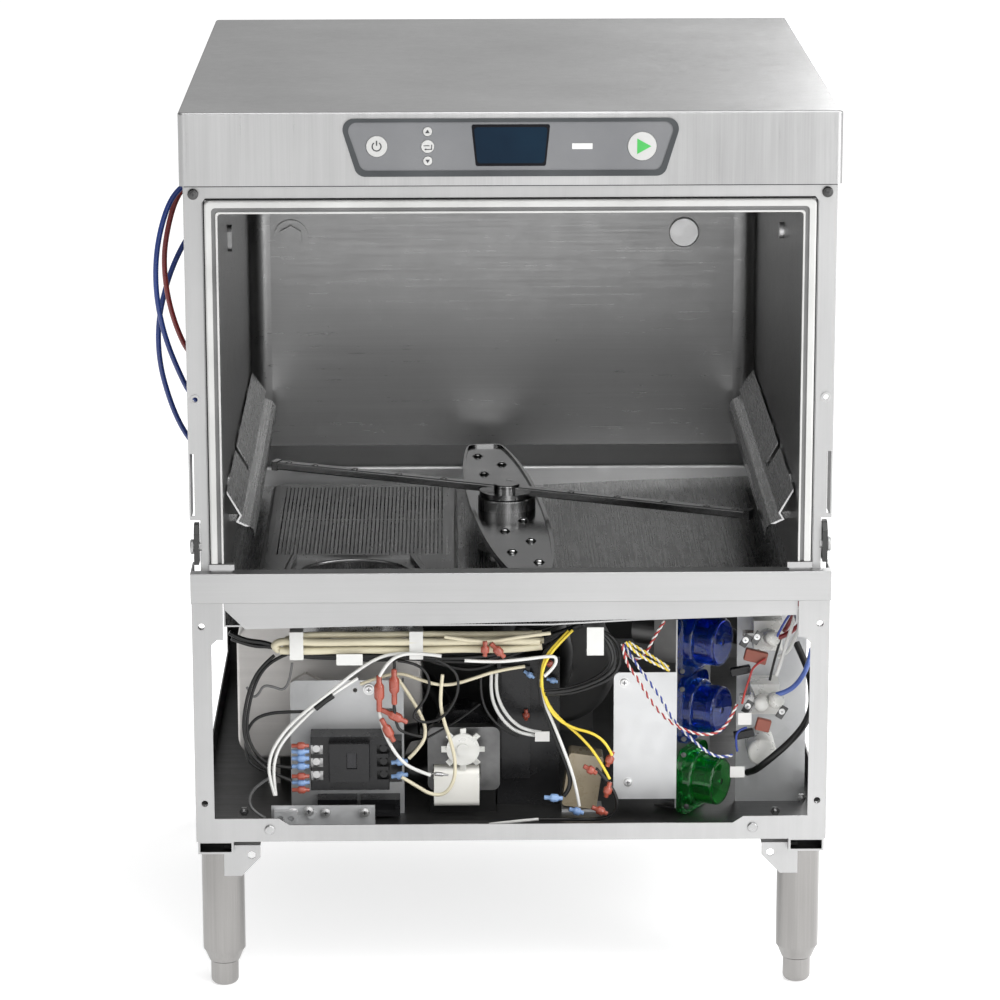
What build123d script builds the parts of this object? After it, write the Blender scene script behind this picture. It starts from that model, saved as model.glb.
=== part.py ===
from build123d import *
import os
from math import cos, radians, sin, sqrt, tan

# Commercial undercounter dishwasher, door and outer panels taken off.
# Millimetres. +X right, +Y back, +Z up, origin on the floor under the middle of the machine.

# ---- Driving dimensions ----
WIDTH = 608.0
DEPTH = 650.0
HEIGHT = 862.0
SHEET = 1.5                 # folded sheet metal
FIT = 0.3                   # gap round a loose part
RUNNING = 0.06              # radial gap of a turning fit

HOOD_BOTTOM = 794.0
HOOD_BACK = DEPTH / 2
APRON_FRONT = -DEPTH / 2 + 2.0   # the control bezel stands 2 mm proud of the apron

FRAME_HALF = 301.5
FRAME_FRONT = -305.0
FRAME_BACK = 306.5
REAR_POST_FRONT = 276.0
FRAME_TOP = HEIGHT - SHEET
BASE = 156.0
BASE_FLOOR = BASE + SHEET
POST_WIDTH = 17.0
LOWER_POST_WIDTH = 18.0

SILL_BOTTOM = 395.5
SILL_TOP = 424.5
SILL_FRONT = -316.0

CHAMBER_HALF = 270.0
CHAMBER_BACK = 285.0
CHAMBER_TOP = 766.0
CHAMBER_BOTTOM = 405.0
CHAMBER_CORNER = 22.0       # upright corners
CEILING_CORNER = 6.0        # ceiling edges and the mouth's top corners
FLANGE_BACK = FRAME_FRONT + 2 * SHEET
TUB_FLOOR = 370.0
TUB_FRONT = -300.0
LEDGE_FRONT = 244.0         # front edge of the shelf along the back of the tub

SUMP = (-151.0, -183.0)
SUMP_RADIUS = 60.0
SUMP_DEPTH = 34.0

SPRAY = (0.0, -30.0)        # axis of all four spray arms
SPINDLE_RADIUS = 8.0
WASH_ARM_REACH = 264.0
WASH_ARM_WIDTH = 74.0
RINSE_ARM_REACH = 262.0

HINGE_Y = -303.0
HINGE_Z = 448.0
HINGE_PIN_RADIUS = 4.0

LEG_X = 278.5
LEG_Y = 269.0
LEG_RADIUS = 20.65
LEG_TOP = 143.0
FOOT_RADIUS = 13.5
FOOT_TOP = 24.0
STEM_RADIUS = 9.0

PUMP_CORNER = (161.0, -245.0)   # folded corner of the chemical pump bracket
PUMP_TURN = 30.0                # how far its side plate is turned about Z, degrees
PUMP_HEIGHTS = (332.5, 264.0, 192.0)
PUMP_SETBACK = 28.5             # pump axis behind the folded corner
PUMP_REACH = 35.0               # pump housing length along its axis
PUMP_RADIUS = 23.5
PUMP_COLLAR = 28.0              # radius of the housing's wide first step
ROTOR_SHAFT_RADIUS = 3.0

WASH_PUMP = (50.0, 250.0)       # x and z of the wash pump's axis
WASH_VOLUTE_RADIUS = 60.0

DRAIN_PUMP = (-45.7, 229.0)     # x and z of the drain pump's axis
FAN_RADIUS = 21.0


# ---- Shape helpers ----
def block(x0, x1, y0, y1, z0, z1):
    """Box between two corners."""
    centre = Pos((x0 + x1) / 2, (y0 + y1) / 2, (z0 + z1) / 2)
    return centre * Box(x1 - x0, y1 - y0, z1 - z0)


def prism(axis, outline, low, high):
    """Flat outline in the plane square to an axis, extruded from low to high along it."""
    if axis == "x":
        points = [(low, a, b) for a, b in outline]
        along = (1, 0, 0)
    elif axis == "y":
        points = [(a, low, b) for a, b in outline]
        along = (0, 1, 0)
    else:
        points = [(a, b, low) for a, b in outline]
        along = (0, 0, 1)
    return extrude(make_face(Polyline(*points, close=True)), amount=high - low, dir=along)


def rod(start, end, radius):
    """Round bar between two points."""
    start = Vector(*start)
    run = Vector(*end) - start
    bar = Cylinder(radius, run.length, align=(Align.CENTER, Align.CENTER, Align.MIN))
    return Plane(origin=start, z_dir=run) * bar


def hexagon(start, end, across):
    """Six-sided bar between two points, measured across its flats."""
    start = Vector(*start)
    run = Vector(*end) - start
    bar = extrude(RegularPolygon(across / sqrt(3), 6), amount=run.length)
    return Plane(origin=start, z_dir=run) * bar


def other_side(shape):
    """Copy of a left-hand shape for the right-hand side."""
    return mirror(shape, about=Plane.YZ)


def group(solids):
    """Separate solids that share one node."""
    return Compound(children=list(solids))


def bend_radii(points):
    """Radius at each inner point of a route, as large as its two runs allow."""
    corners = [Vector(*point) for point in points]
    radii = []
    for before, here, after in zip(corners, corners[1:], corners[2:]):
        turn = radians((here - before).get_angle(after - here))
        shorter = min((here - before).length, (after - here).length)
        radii.append(0.45 * shorter / tan(turn / 2))
    return radii


def tube(points, radius):
    """Round flexible line along a route of straight runs and tangent arcs."""
    route = FilletPolyline(*points, radius=bend_radii(points))
    start = Plane(origin=points[0], z_dir=Vector(*points[1]) - Vector(*points[0]))
    return sweep(start * Circle(radius), path=route)


def trapezoid(top_half, bottom_half, low, high, corner, front, back):
    """Upright tapered plate with round corners, square to Y."""
    outline = [(-top_half, high), (top_half, high), (bottom_half, low), (-bottom_half, low)]
    plate = prism("y", outline, front, back)
    return fillet(plate.edges().filter_by(Axis.Y), corner)


# ---- Hood and control panel ----
BEZEL_FRONT = -DEPTH / 2
PANEL_BACK = APRON_FRONT + SHEET
BUTTONS = {
    "power_button": (-122.5, 830.4, 9.7),
    "up_button": (-76.0, 843.9, 4.2),
    "enter_button": (-76.0, 830.2, 6.0),
    "down_button": (-76.0, 816.9, 4.2),
    "start_button": (120.0, 829.8, 13.2),
}
BUTTON_FRONT = -324.8
BUTTON_BACK = -318.6
BOARD_FRONT = -314.0


def overlay_outline(front, back):
    """Tapered panel area inside the bezel."""
    return trapezoid(151.5, 136.5, 808.0, 852.6, 8.0, front, back)


def display_outline(front, back):
    """Tapered display window."""
    return trapezoid(36.0, 32.0, 812.0, 850.4, 2.0, front, back)


def hood():
    """Top cover with its front apron, open underneath."""
    outer = block(-WIDTH / 2, WIDTH / 2, APRON_FRONT, HOOD_BACK, HOOD_BOTTOM, HEIGHT)
    outer = fillet(outer.edges().filter_by(Axis.Z), 5)
    outer = fillet(outer.faces().sort_by(Axis.Z)[-1].edges(), 2.5)
    half = WIDTH / 2 - SHEET
    inner = block(-half, half, PANEL_BACK, HOOD_BACK - SHEET, HOOD_BOTTOM - 1, HEIGHT - SHEET)
    inner = fillet(inner.edges().filter_by(Axis.Z), 4)
    lip = block(-290, 290, PANEL_BACK - 0.5, -307, HOOD_BOTTOM, HOOD_BOTTOM + SHEET)
    return outer - inner + lip - overlay_outline(APRON_FRONT - 1, PANEL_BACK + 1)


def control_bezel():
    """Dark raised border round the control panel."""
    border = trapezoid(157.0, 140.5, 802.5, 855.8, 10.0, BEZEL_FRONT, APRON_FRONT)
    return border - overlay_outline(BEZEL_FRONT - 1, APRON_FRONT + 1)


def control_overlay():
    """Grey panel with holes for the display and the five buttons."""
    panel = overlay_outline(-324.3, PANEL_BACK)
    panel -= display_outline(-326, PANEL_BACK + 1)
    for x, z, radius in BUTTONS.values():
        panel -= rod((x, -326, z), (x, PANEL_BACK + 1, z), radius + FIT)
    return panel


def button(name):
    """One push button with a domed front edge."""
    x, z, radius = BUTTONS[name]
    cap = rod((x, BUTTON_BACK, z), (x, BUTTON_FRONT, z), radius)
    return fillet(cap.faces().sort_by(Axis.Y)[0].edges(), 0.6)


def control_board():
    """Circuit board on four standoffs, with a switch behind each button."""
    solids = [block(-137, 137, BOARD_FRONT, BOARD_FRONT + 1.6, 811, 849)]
    for x in (-135, 135):
        for z in (815, 845):
            solids.append(rod((x, BOARD_FRONT, z), (x, PANEL_BACK, z), 1.5))
    for x, z, radius in BUTTONS.values():
        solids.append(rod((x, BOARD_FRONT, z), (x, BUTTON_BACK + 1.2, z), 2.5))
    solids.append(block(-34, 34, PANEL_BACK + 0.5, BOARD_FRONT, 814, 848))
    solids.append(block(-60, 60, BOARD_FRONT + 1.6, -308, 818, 842))
    board = solids[0]
    for solid in solids[1:]:
        board += solid
    return board


# ---- Frame ----
POST_HOLES = (370.0, 194.5)
POST_HOLE_X = 292.5
UPPER_HOLE_Z = 590.0


def front_post():
    """Left front post: folded flange, side return, hinge bracket and hinge pin."""
    inner = -FRAME_HALF + POST_WIDTH
    lower_inner = -FRAME_HALF + LOWER_POST_WIDTH
    outline = [
        (-FRAME_HALF, FRAME_TOP), (-FRAME_HALF, 474), (-291.5, 474), (-291.5, SILL_TOP),
        (-FRAME_HALF, SILL_TOP), (-FRAME_HALF, BASE), (lower_inner, BASE),
        (lower_inner, 352), (-278, 357), (-272, 357), (-272, SILL_TOP), (inner, SILL_TOP),
        (inner, FRAME_TOP),
    ]
    post = prism("y", outline, FRAME_FRONT, FRAME_FRONT + SHEET)
    side = (-FRAME_HALF, -FRAME_HALF + SHEET, FRAME_FRONT, -270)
    post += block(*side, BASE, SILL_TOP)
    post += block(*side, 474, FRAME_TOP)
    post -= block(-300, -296.5, -306, -303, 478, 538)
    for z in POST_HOLES:
        post -= rod((-POST_HOLE_X, -306, z), (-POST_HOLE_X, -303, z), 3.2)
    post -= rod((-294, -306, UPPER_HOLE_Z), (-294, -303, UPPER_HOLE_Z), 2.5)
    post += block(-292, -290.5, FRAME_FRONT, -286, SILL_TOP, 470)
    pin_start = (-290.5, HINGE_Y, HINGE_Z)
    post += rod(pin_start, (-299, HINGE_Y, HINGE_Z), HINGE_PIN_RADIUS)
    head = rod((-298.4, HINGE_Y, HINGE_Z), (-301.4, HINGE_Y, HINGE_Z), 7)
    return post + fillet(head.faces().sort_by(Axis.X)[0].edges(), 1.2)


def door_hinge():
    """Left hinge arm that the door bolts to, on its pin."""
    outline = [(-9, -16), (9, -16), (9, 22), (-2, 22), (-9, 14)]
    shifted = [(HINGE_Y + y, HINGE_Z + z) for y, z in outline]
    arm = prism("x", shifted, -297.6, -293)
    arm = fillet(arm.edges().filter_by(Axis.X), 2)
    bore = HINGE_PIN_RADIUS + RUNNING
    arm -= rod((-300, HINGE_Y, HINGE_Z), (-290, HINGE_Y, HINGE_Z), bore)
    for z in (HINGE_Z - 11, HINGE_Z + 14):
        arm -= rod((-300, HINGE_Y + 3, z), (-290, HINGE_Y + 3, z), 2.1)
    return arm


def top_rails():
    """Header plate with corner tabs, and the two side rails under the hood."""
    front = FRAME_FRONT - SHEET
    outline = [
        (-300, FRAME_TOP), (300, FRAME_TOP), (300, 774.5), (285, 774.5), (281, 780),
        (-281, 780), (-285, 774.5), (-300, 774.5),
    ]
    header = prism("y", outline, front, FRAME_FRONT)
    for x in (-292, 292):
        header -= rod((x, -308, 784), (x, -304, 784), 2.6)
    rail = block(-FRAME_HALF, -FRAME_HALF + SHEET, -270, REAR_POST_FRONT, 800, FRAME_TOP)
    rail += block(-FRAME_HALF, -286, -270, REAR_POST_FRONT, FRAME_TOP - SHEET, FRAME_TOP)
    return group([header, rail, other_side(rail)])


def sill_bar():
    """Channel across the bottom of the door opening, with two gasket stops."""
    bar = block(-FRAME_HALF, FRAME_HALF, SILL_FRONT, FRAME_FRONT, SILL_BOTTOM, SILL_TOP)
    bar = fillet(bar.edges().filter_by(Axis.X).sort_by(Axis.Y)[:2], 1.2)
    half = FRAME_HALF - SHEET
    bar -= block(-half, half, SILL_FRONT + SHEET, FRAME_FRONT + 1, SILL_BOTTOM + SHEET, SILL_TOP - SHEET)
    reach = CHAMBER_HALF
    bar += block(-reach, reach, FRAME_FRONT - 1, TUB_FRONT, SILL_TOP - SHEET, SILL_TOP)
    stop = block(-283.5, -260, -312, FRAME_FRONT + SHEET, SILL_TOP + 2.5, SILL_TOP + 8)
    stop += block(-282, -262, -308, FRAME_FRONT + SHEET, SILL_TOP - 0.5, SILL_TOP + 3)
    return bar + stop + other_side(stop)


def base_pan():
    """Floor of the machine compartment with a front rail and side skirts."""
    half = FRAME_HALF - SHEET
    pan = block(-half, half, FRAME_FRONT + SHEET, FRAME_BACK - SHEET, BASE, BASE_FLOOR)
    edge = FRAME_HALF - LOWER_POST_WIDTH
    rail = [
        (-edge, BASE), (edge, BASE), (edge, 179), (222, 179), (212, 172.5),
        (-212, 172.5), (-222, 179), (-edge, 179),
    ]
    pan += prism("y", rail, FRAME_FRONT, FRAME_FRONT + SHEET)
    skirt = block(-half, -half + SHEET, FRAME_FRONT + SHEET, REAR_POST_FRONT, BASE_FLOOR, 184)
    pan += skirt + other_side(skirt)
    pan += block(-half, half, FRAME_BACK - 2 * SHEET, FRAME_BACK - SHEET, BASE_FLOOR, 180)
    for x in (-231, 231):
        pan -= rod((x, -306, 168), (x, -302, 168), 2.6)
    return pan


DRAIN_OUTLET = (-200.0, 215.0)
WATER_INLET = (200.0, 215.0)
STUB_START = 292.0
NUT_BACK = FRAME_BACK + 3.0     # rear face of the nut round each stub


def back_panel():
    """Rear sheet folded into the rear posts, with the drain and water stubs."""
    half = FRAME_HALF
    panel = block(-half, half, FRAME_BACK - SHEET, FRAME_BACK, BASE, FRAME_TOP)
    side = block(-half, -half + SHEET, REAR_POST_FRONT, FRAME_BACK, BASE, FRAME_TOP)
    panel += side + other_side(side)
    stubs = []
    for (x, z), radius in ((DRAIN_OUTLET, 11), (WATER_INLET, 10)):
        panel -= rod((x, FRAME_BACK - 3, z), (x, FRAME_BACK + 1, z), radius + FIT)
        stub = rod((x, STUB_START, z), (x, HOOD_BACK, z), radius)
        stub += rod((x, FRAME_BACK - 5, z), (x, FRAME_BACK - SHEET, z), radius + 7)
        stub += hexagon((x, FRAME_BACK, z), (x, NUT_BACK, z), 2 * radius + 12)
        stubs.append(stub - rod((x, STUB_START - 1, z), (x, HOOD_BACK + 1, z), radius - 2.5))
    return group([panel] + stubs)


# ---- Wash chamber ----
def rounded_room(half, back, top, bottom, grown):
    """Chamber volume with round back corners and slightly round ceiling edges."""
    room = block(-half, half, FLANGE_BACK, back, bottom, top)
    uprights = room.edges().filter_by(Axis.Z).sort_by(Axis.Y)[-2:]
    room = fillet(uprights, CHAMBER_CORNER + grown)
    ceiling = room.faces().sort_by(Axis.Z)[-1].edges().sort_by(Axis.Y)[1:]
    return fillet(ceiling, CEILING_CORNER + grown)


def chamber_shell():
    """Walls and ceiling of the wash chamber with the flange round its mouth."""
    outer = rounded_room(
        CHAMBER_HALF + SHEET, CHAMBER_BACK + SHEET, CHAMBER_TOP + SHEET, CHAMBER_BOTTOM, SHEET)
    inner = rounded_room(CHAMBER_HALF, CHAMBER_BACK, CHAMBER_TOP, CHAMBER_BOTTOM - 5, 0)
    flange = block(-289.5, 289.5, FLANGE_BACK - SHEET, FLANGE_BACK, SILL_TOP, 790)
    mouth = block(-CHAMBER_HALF, CHAMBER_HALF, -310, -295, 400, CHAMBER_TOP)
    mouth = fillet(mouth.edges().filter_by(Axis.Y).sort_by(Axis.Z)[-2:], CEILING_CORNER)
    shell = outer - inner + flange - mouth
    return shell - rod((0, SPRAY[1], 760), (0, SPRAY[1], 770), 14.3)


def tub_floor():
    """Tub under the chamber: sloped floor, back ledge, front lip and sump well."""
    wall = CHAMBER_HALF + SHEET
    top = [(-wall, TUB_FLOOR), (40, TUB_FLOOR), (125, 374.5), (wall, 379)]
    under = [(x, z - SHEET) for x, z in reversed(top)]
    tub = prism("y", top + under, TUB_FRONT, CHAMBER_BACK + SHEET)
    for x in (-wall, CHAMBER_HALF):
        tub += block(x, x + SHEET, TUB_FRONT, CHAMBER_BACK + SHEET, 369, CHAMBER_BOTTOM)
    tub += block(-wall, wall, CHAMBER_BACK, CHAMBER_BACK + SHEET, 369, CHAMBER_BOTTOM)
    inside = CHAMBER_HALF
    lip = [
        (-wall, 386), (-wall + 20, 366), (wall, 377.5), (wall, CHAMBER_BOTTOM),
        (inside, CHAMBER_BOTTOM), (inside, SILL_TOP), (-inside, SILL_TOP),
        (-inside, CHAMBER_BOTTOM), (-wall, CHAMBER_BOTTOM),
    ]
    tub += prism("y", lip, TUB_FRONT, TUB_FRONT + SHEET)
    front = LEDGE_FRONT
    ledge = [
        (285, 405), (front, 391.6), (front, 369), (front + SHEET, 369), (front + SHEET, 390.5),
        (285, 403.4),
    ]
    shelf = prism("x", ledge, -CHAMBER_HALF, CHAMBER_HALF)
    nose = shelf.edges().filter_by(Axis.X).filter_by(lambda edge: edge.center().Z > 390)
    tub += fillet(nose.sort_by(Axis.Y)[:1], 5)
    tub -= rod((*SUMP, TUB_FLOOR - 5), (*SUMP, TUB_FLOOR + 5), SUMP_RADIUS)
    return tub - rod((0, SPRAY[1], 360), (0, SPRAY[1], 375), 14.3)


def sump_well():
    """Round well hung under the tub floor, with its suction stub."""
    x, y = SUMP
    bottom = TUB_FLOOR - SUMP_DEPTH
    stub = rod((x + SUMP_RADIUS - 1, y, 352), (x + SUMP_RADIUS + 24, y, 352), 13)
    well = rod((x, y, bottom - SHEET), (x, y, TUB_FLOOR - SHEET), SUMP_RADIUS + SHEET) + stub
    well -= rod((x, y, bottom), (x, y, TUB_FLOOR + 5), SUMP_RADIUS)
    return well - rod((x + SUMP_RADIUS - 4, y, 352), (x + SUMP_RADIUS + 25, y, 352), 11)


GASKET_HALF = 282.0
GASKET_TOP = 778.0
GASKET_FRONT = -311.0


def gasket_bar(half, top, bottom, front, back, corner):
    """Upright block with two round top corners, square to Y."""
    bar = block(-half, half, front, back, bottom, top)
    return fillet(bar.edges().filter_by(Axis.Y).sort_by(Axis.Z)[-2:], corner)


def door_gasket():
    """Soft silicone seal up both sides and across the top of the door opening."""
    bottom = SILL_TOP + 8.5
    back = FLANGE_BACK - SHEET
    solid = gasket_bar(GASKET_HALF, GASKET_TOP, bottom, GASKET_FRONT, back, 5)
    rim = solid.faces().sort_by(Axis.Y)[0].edges().filter_by(lambda edge: edge.center().Z > bottom + 1)
    solid = fillet(rim, 2)
    opening = gasket_bar(CHAMBER_HALF, CHAMBER_TOP, bottom - 1, GASKET_FRONT - 1, back + 5, 3)
    groove = gasket_bar(275.6, CHAMBER_TOP + 5.6, bottom - 1, GASKET_FRONT - 1, GASKET_FRONT + 2.5, 4)
    groove -= gasket_bar(271.6, CHAMBER_TOP + 1.6, bottom - 2, GASKET_FRONT - 2, back, 3)
    return solid - opening - groove


RAIL_FRONT = -272.0


def rack_rail():
    """Left rack rail: folded sheet with a sloped top and a round ridge."""
    outline = [
        (-268, 494), (-254, 470), (-257.5, 464.5), (-247, 459.5), (-243.5, 454), (-243.5, 442),
        (-245, 442), (-245, 453.5), (-248, 458), (-259.8, 463.5), (-256, 470), (-268, 491),
    ]
    rail = prism("y", outline, RAIL_FRONT, 262)
    front_cut = [(RAIL_FRONT - 1, 440), (RAIL_FRONT - 1, 460), (RAIL_FRONT + 28, 440)]
    rail -= prism("x", front_cut, -280, -240)
    rail -= block(-269, -256, -106, -82, 466, 500)
    back_cut = [(263, 500), (263, 472), (249, 500)]
    rail -= prism("x", back_cut, -280, -240)
    for y in (-200, 0, 180):
        rail += block(-CHAMBER_HALF, -245, y, y + 2, 446, 453)
        rail += block(-CHAMBER_HALF, -266.5, y - 8, y + 10, 484, 492)
    return rail


def chamber_plugs():
    """Blanking plugs in the back and side walls."""
    back = CHAMBER_BACK
    hexed = rod((-225.8, back, 635), (-225.8, back - 3, 635), 18)
    hexed += hexagon((-225.8, back - 3, 635), (-225.8, back - 8, 635), 22)
    disc = rod((194.4, back, 638), (194.4, back - 4, 638), 16)
    disc = fillet(disc.faces().sort_by(Axis.Y)[0].edges(), 1.5)
    side = rod((CHAMBER_HALF, -82, 707), (CHAMBER_HALF - 4, -82, 707), 8)
    oval = block(-CHAMBER_HALF, -CHAMBER_HALF + 4, -142, -126, 698, 724)
    oval = fillet(oval.edges().filter_by(Axis.X), 7.9)
    return group([hexed, disc, side, oval])


# ---- Strainers ----
PAN_LEFT = -245.0
PAN_RIGHT = -50.0
PAN_FRONT = -262.0
PAN_REAR = 200.0
PAN_TOP = 384.0
RIB_PITCH = 4.0
SLOT_HALF = 0.7
RIB_COUNT = 42


def strainer_pan():
    """Lift-out scrap tray with fine slots, a raised frame and the basket hole."""
    pan = block(PAN_LEFT, PAN_RIGHT, PAN_FRONT, PAN_REAR, TUB_FLOOR, PAN_TOP)
    pan = fillet(pan.edges().filter_by(Axis.Z), 14)
    pan = fillet(pan.faces().sort_by(Axis.Z)[-1].edges(), 4)
    inner = block(PAN_LEFT + 2, PAN_RIGHT - 2, PAN_FRONT + 2, PAN_REAR - 2, TUB_FLOOR - 1, PAN_TOP - 2)
    pan -= fillet(inner.edges().filter_by(Axis.Z), 12)
    middle = (PAN_LEFT + PAN_RIGHT) / 2
    pan -= block(PAN_LEFT + 9, PAN_RIGHT - 9, -98, PAN_REAR - 9, PAN_TOP - 0.8, PAN_TOP + 1)
    frame = [(-215, -104), (-91, -104), (-76, -176), (-78, -250), (-224, -250), (-222, -176)]
    raised = prism("z", frame, PAN_TOP - 1.5, PAN_TOP + 4)
    raised = fillet(raised.faces().sort_by(Axis.Z)[-1].edges(), 3)
    inset = [(x * 0.9 - 15.1, y * 0.9 - 18) for x, y in frame]
    pan += raised - prism("z", inset, PAN_TOP, PAN_TOP + 6)
    pan -= rod((*SUMP, PAN_TOP - 5), (*SUMP, PAN_TOP + 6), SUMP_RADIUS - 3)
    slots = [
        block(x - SLOT_HALF, x + SLOT_HALF, y0, y1, PAN_TOP - 5, PAN_TOP + 1)
        for x in [middle + RIB_PITCH * (i - (RIB_COUNT - 1) / 2) for i in range(RIB_COUNT)]
        for y0, y1 in ((-90, 46), (48.5, 184))
    ]
    return pan - slots


def strainer_basket():
    """Deep round basket with a rolled rim and two rows of holes in its side."""
    x, y = SUMP
    basket = rod((x, y, PAN_TOP), (x, y, PAN_TOP + 2), SUMP_RADIUS - 1)
    basket += rod((x, y, 341), (x, y, PAN_TOP + 1), SUMP_RADIUS - 4)
    basket -= rod((x, y, 342.5), (x, y, PAN_TOP + 3), SUMP_RADIUS - 5.5)
    for turn in range(0, 180, 30):
        for z in (352, 363):
            basket -= Pos(x, y, z) * Rot(0, 0, turn) * Rot(0, 90, 0) * Cylinder(2, 130)
    return basket + Pos(x, y, PAN_TOP + 2.6) * Torus(SUMP_RADIUS - 3.2, 1.6)


# ---- Spray arms ----
WASH_HUB = (408.4, 428.0)
RINSE_HUB = (428.6, 440.0)
RINSE_SKIRT = 27.5          # radius of the turned skirt under the rinse arm
MANIFOLD_SHOULDER = 408.0
SPINDLE_END = 30.0          # spindle above its shoulder, inside the rinse arm's blind hub


def lower_manifold():
    """Water riser through the tub floor with the arms' spindle."""
    x, y = SPRAY
    riser = rod((x, y, 345), (x, y, TUB_FLOOR), 14)
    riser += rod((x, y, TUB_FLOOR), (x, y, 374), 30)
    riser += rod((x, y, 374), (x, y, MANIFOLD_SHOULDER), 16)
    spindle = rod((x, y, MANIFOLD_SHOULDER), (x, y, MANIFOLD_SHOULDER + SPINDLE_END), SPINDLE_RADIUS)
    return riser + spindle


def arm_outline(inset):
    """Plan of the wash arm: a long ellipse with its ends cut off and rounded."""
    ellipse = Ellipse(WASH_ARM_WIDTH / 2 - inset, 1.13 * WASH_ARM_REACH)
    plan = ellipse & Rectangle(WASH_ARM_WIDTH, 2 * (WASH_ARM_REACH - inset))
    return fillet(plan.vertices(), 13 - inset)


def wash_arm():
    """Broad blunt-ended arm with a round hub, upturned rim and domed nozzles."""
    lens = extrude(arm_outline(0), amount=9)
    lens = fillet(lens.faces().sort_by(Axis.Z)[0].edges(), 3)
    lens -= Pos(0, 0, 6.5) * extrude(arm_outline(3.5), amount=6)
    for index, reach in enumerate((58, 98, 138, 178, 218)):
        offset = 11 if index % 2 else -11
        for side in (-1, 1):
            dome = Pos(side * offset, side * reach, 2.3) * Sphere(7)
            lens += dome - block(-80, 80, -300, 300, -10, 5)
            lens -= Pos(side * offset, side * reach, 9) * Cylinder(1.2, 3)
    height = WASH_HUB[1] - WASH_HUB[0]
    hub = Pos(0, 0, height / 2 - 1) * Cylinder(29, height)
    hub = fillet(hub.faces().sort_by(Axis.Z)[-1].edges(), 2)
    return lens + hub - Pos(0, 0, 5) * Cylinder(SPINDLE_RADIUS + RUNNING, 60)


def rinse_arm():
    """Thin square-tube arm with a blind round hub and a row of small nozzle holes."""
    bar = Box(2 * RINSE_ARM_REACH, 11, 8)
    bar = fillet(bar.edges().filter_by(Axis.X), 1.5)
    for side in (-1, 1):
        cap = Pos(side * (RINSE_ARM_REACH - 3), 0, 0) * Box(6, 13, 9.5)
        bar += cap
        for reach in (70, 120, 170, 215, 245):
            bar -= Pos(side * reach, 0, 3.5) * Cylinder(1.6, 3)
            bar += Pos(side * reach, 0, 4.2) * (Cylinder(3.4, 1.2) - Cylinder(1.6, 2))
    height = RINSE_HUB[1] - RINSE_HUB[0]
    hub = fillet(Cylinder(13, height).faces().sort_by(Axis.Z)[-1].edges(), 1.5)
    hub += Pos(0, 0, 2.5 - height / 2) * Cylinder(RINSE_SKIRT, 5)
    bore = Pos(0, 0, -height / 2) * Cylinder(SPINDLE_RADIUS + RUNNING, 2 * (height - 1.4))
    return bar + hub - bore


def place_arm(arm, z, turn, flip=False):
    """Arm on the spray axis at a height, turned about it, or upside down at the ceiling."""
    spun = Rot(0, 0, turn) * (Rot(180, 0, 0) * arm if flip else arm)
    return Pos(SPRAY[0], SPRAY[1], z) * spun


UPPER_SHOULDER = 757.0
FEED_BACK = 295.7           # feed pipe between the chamber and the rear sheet


def upper_manifold():
    """Water drop from the ceiling with the upper arms' spindle."""
    x, y = SPRAY
    drop = rod((x, y, UPPER_SHOULDER), (x, y, CHAMBER_TOP), 16)
    drop += rod((x, y, 762), (x, y, CHAMBER_TOP), 30)
    drop += rod((x, y, UPPER_SHOULDER - SPINDLE_END), (x, y, UPPER_SHOULDER), SPINDLE_RADIUS)
    return drop + rod((x, y, CHAMBER_TOP), (x, y, 800), 14)


# ---- Legs ----
def leg_mount():
    """Front-left leg channel with its gusset plate."""
    outer = block(-300, -266, -303, -236, LEG_TOP, BASE)
    channel = outer - block(-298, -268, -304, -235, LEG_TOP + 2, BASE - 2)
    outline = [(-276, 148), (-240.9, 148), (-240.9, 136), (-259, 117), (-276, 117)]
    gusset = prism("y", outline, -292, -290.4)
    gusset += block(-268, -240.9, -292, -278, 146.5, 148)
    gusset -= hexagon((-249.5, -293, 138), (-249.5, -289, 138), 7)
    return channel + gusset


def leg_tube():
    """Front-left leg: steel tube with a tapered bush for the foot's stem."""
    tube_wall = rod((-LEG_X, -LEG_Y, 37), (-LEG_X, -LEG_Y, LEG_TOP), LEG_RADIUS)
    tube_wall -= rod((-LEG_X, -LEG_Y, 37), (-LEG_X, -LEG_Y, LEG_TOP - 4), LEG_RADIUS - 1.6)
    bush = Pos(-LEG_X, -LEG_Y, 31) * Cone(15, LEG_RADIUS - 0.6, 12)
    bush += rod((-LEG_X, -LEG_Y, 37), (-LEG_X, -LEG_Y, 52), LEG_RADIUS - 1.6)
    leg = tube_wall + bush
    return leg - rod((-LEG_X, -LEG_Y, 20), (-LEG_X, -LEG_Y, 60), STEM_RADIUS + RUNNING)


def foot():
    """Front-left bullet foot with its threaded stem."""
    tip = rod((-LEG_X, -LEG_Y, 0), (-LEG_X, -LEG_Y, FOOT_TOP), FOOT_RADIUS)
    tip = fillet(tip.faces().sort_by(Axis.Z)[0].edges(), 6)
    return tip + rod((-LEG_X, -LEG_Y, FOOT_TOP), (-LEG_X, -LEG_Y, 68), STEM_RADIUS)


def four_corners(shape):
    """A front-left shape at all four corners, in the order of CORNERS."""
    back = mirror(shape, about=Plane.XZ)
    return [shape, other_side(shape), back, other_side(back)]


CORNERS = ("front_left", "front_right", "rear_left", "rear_right")


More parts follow.
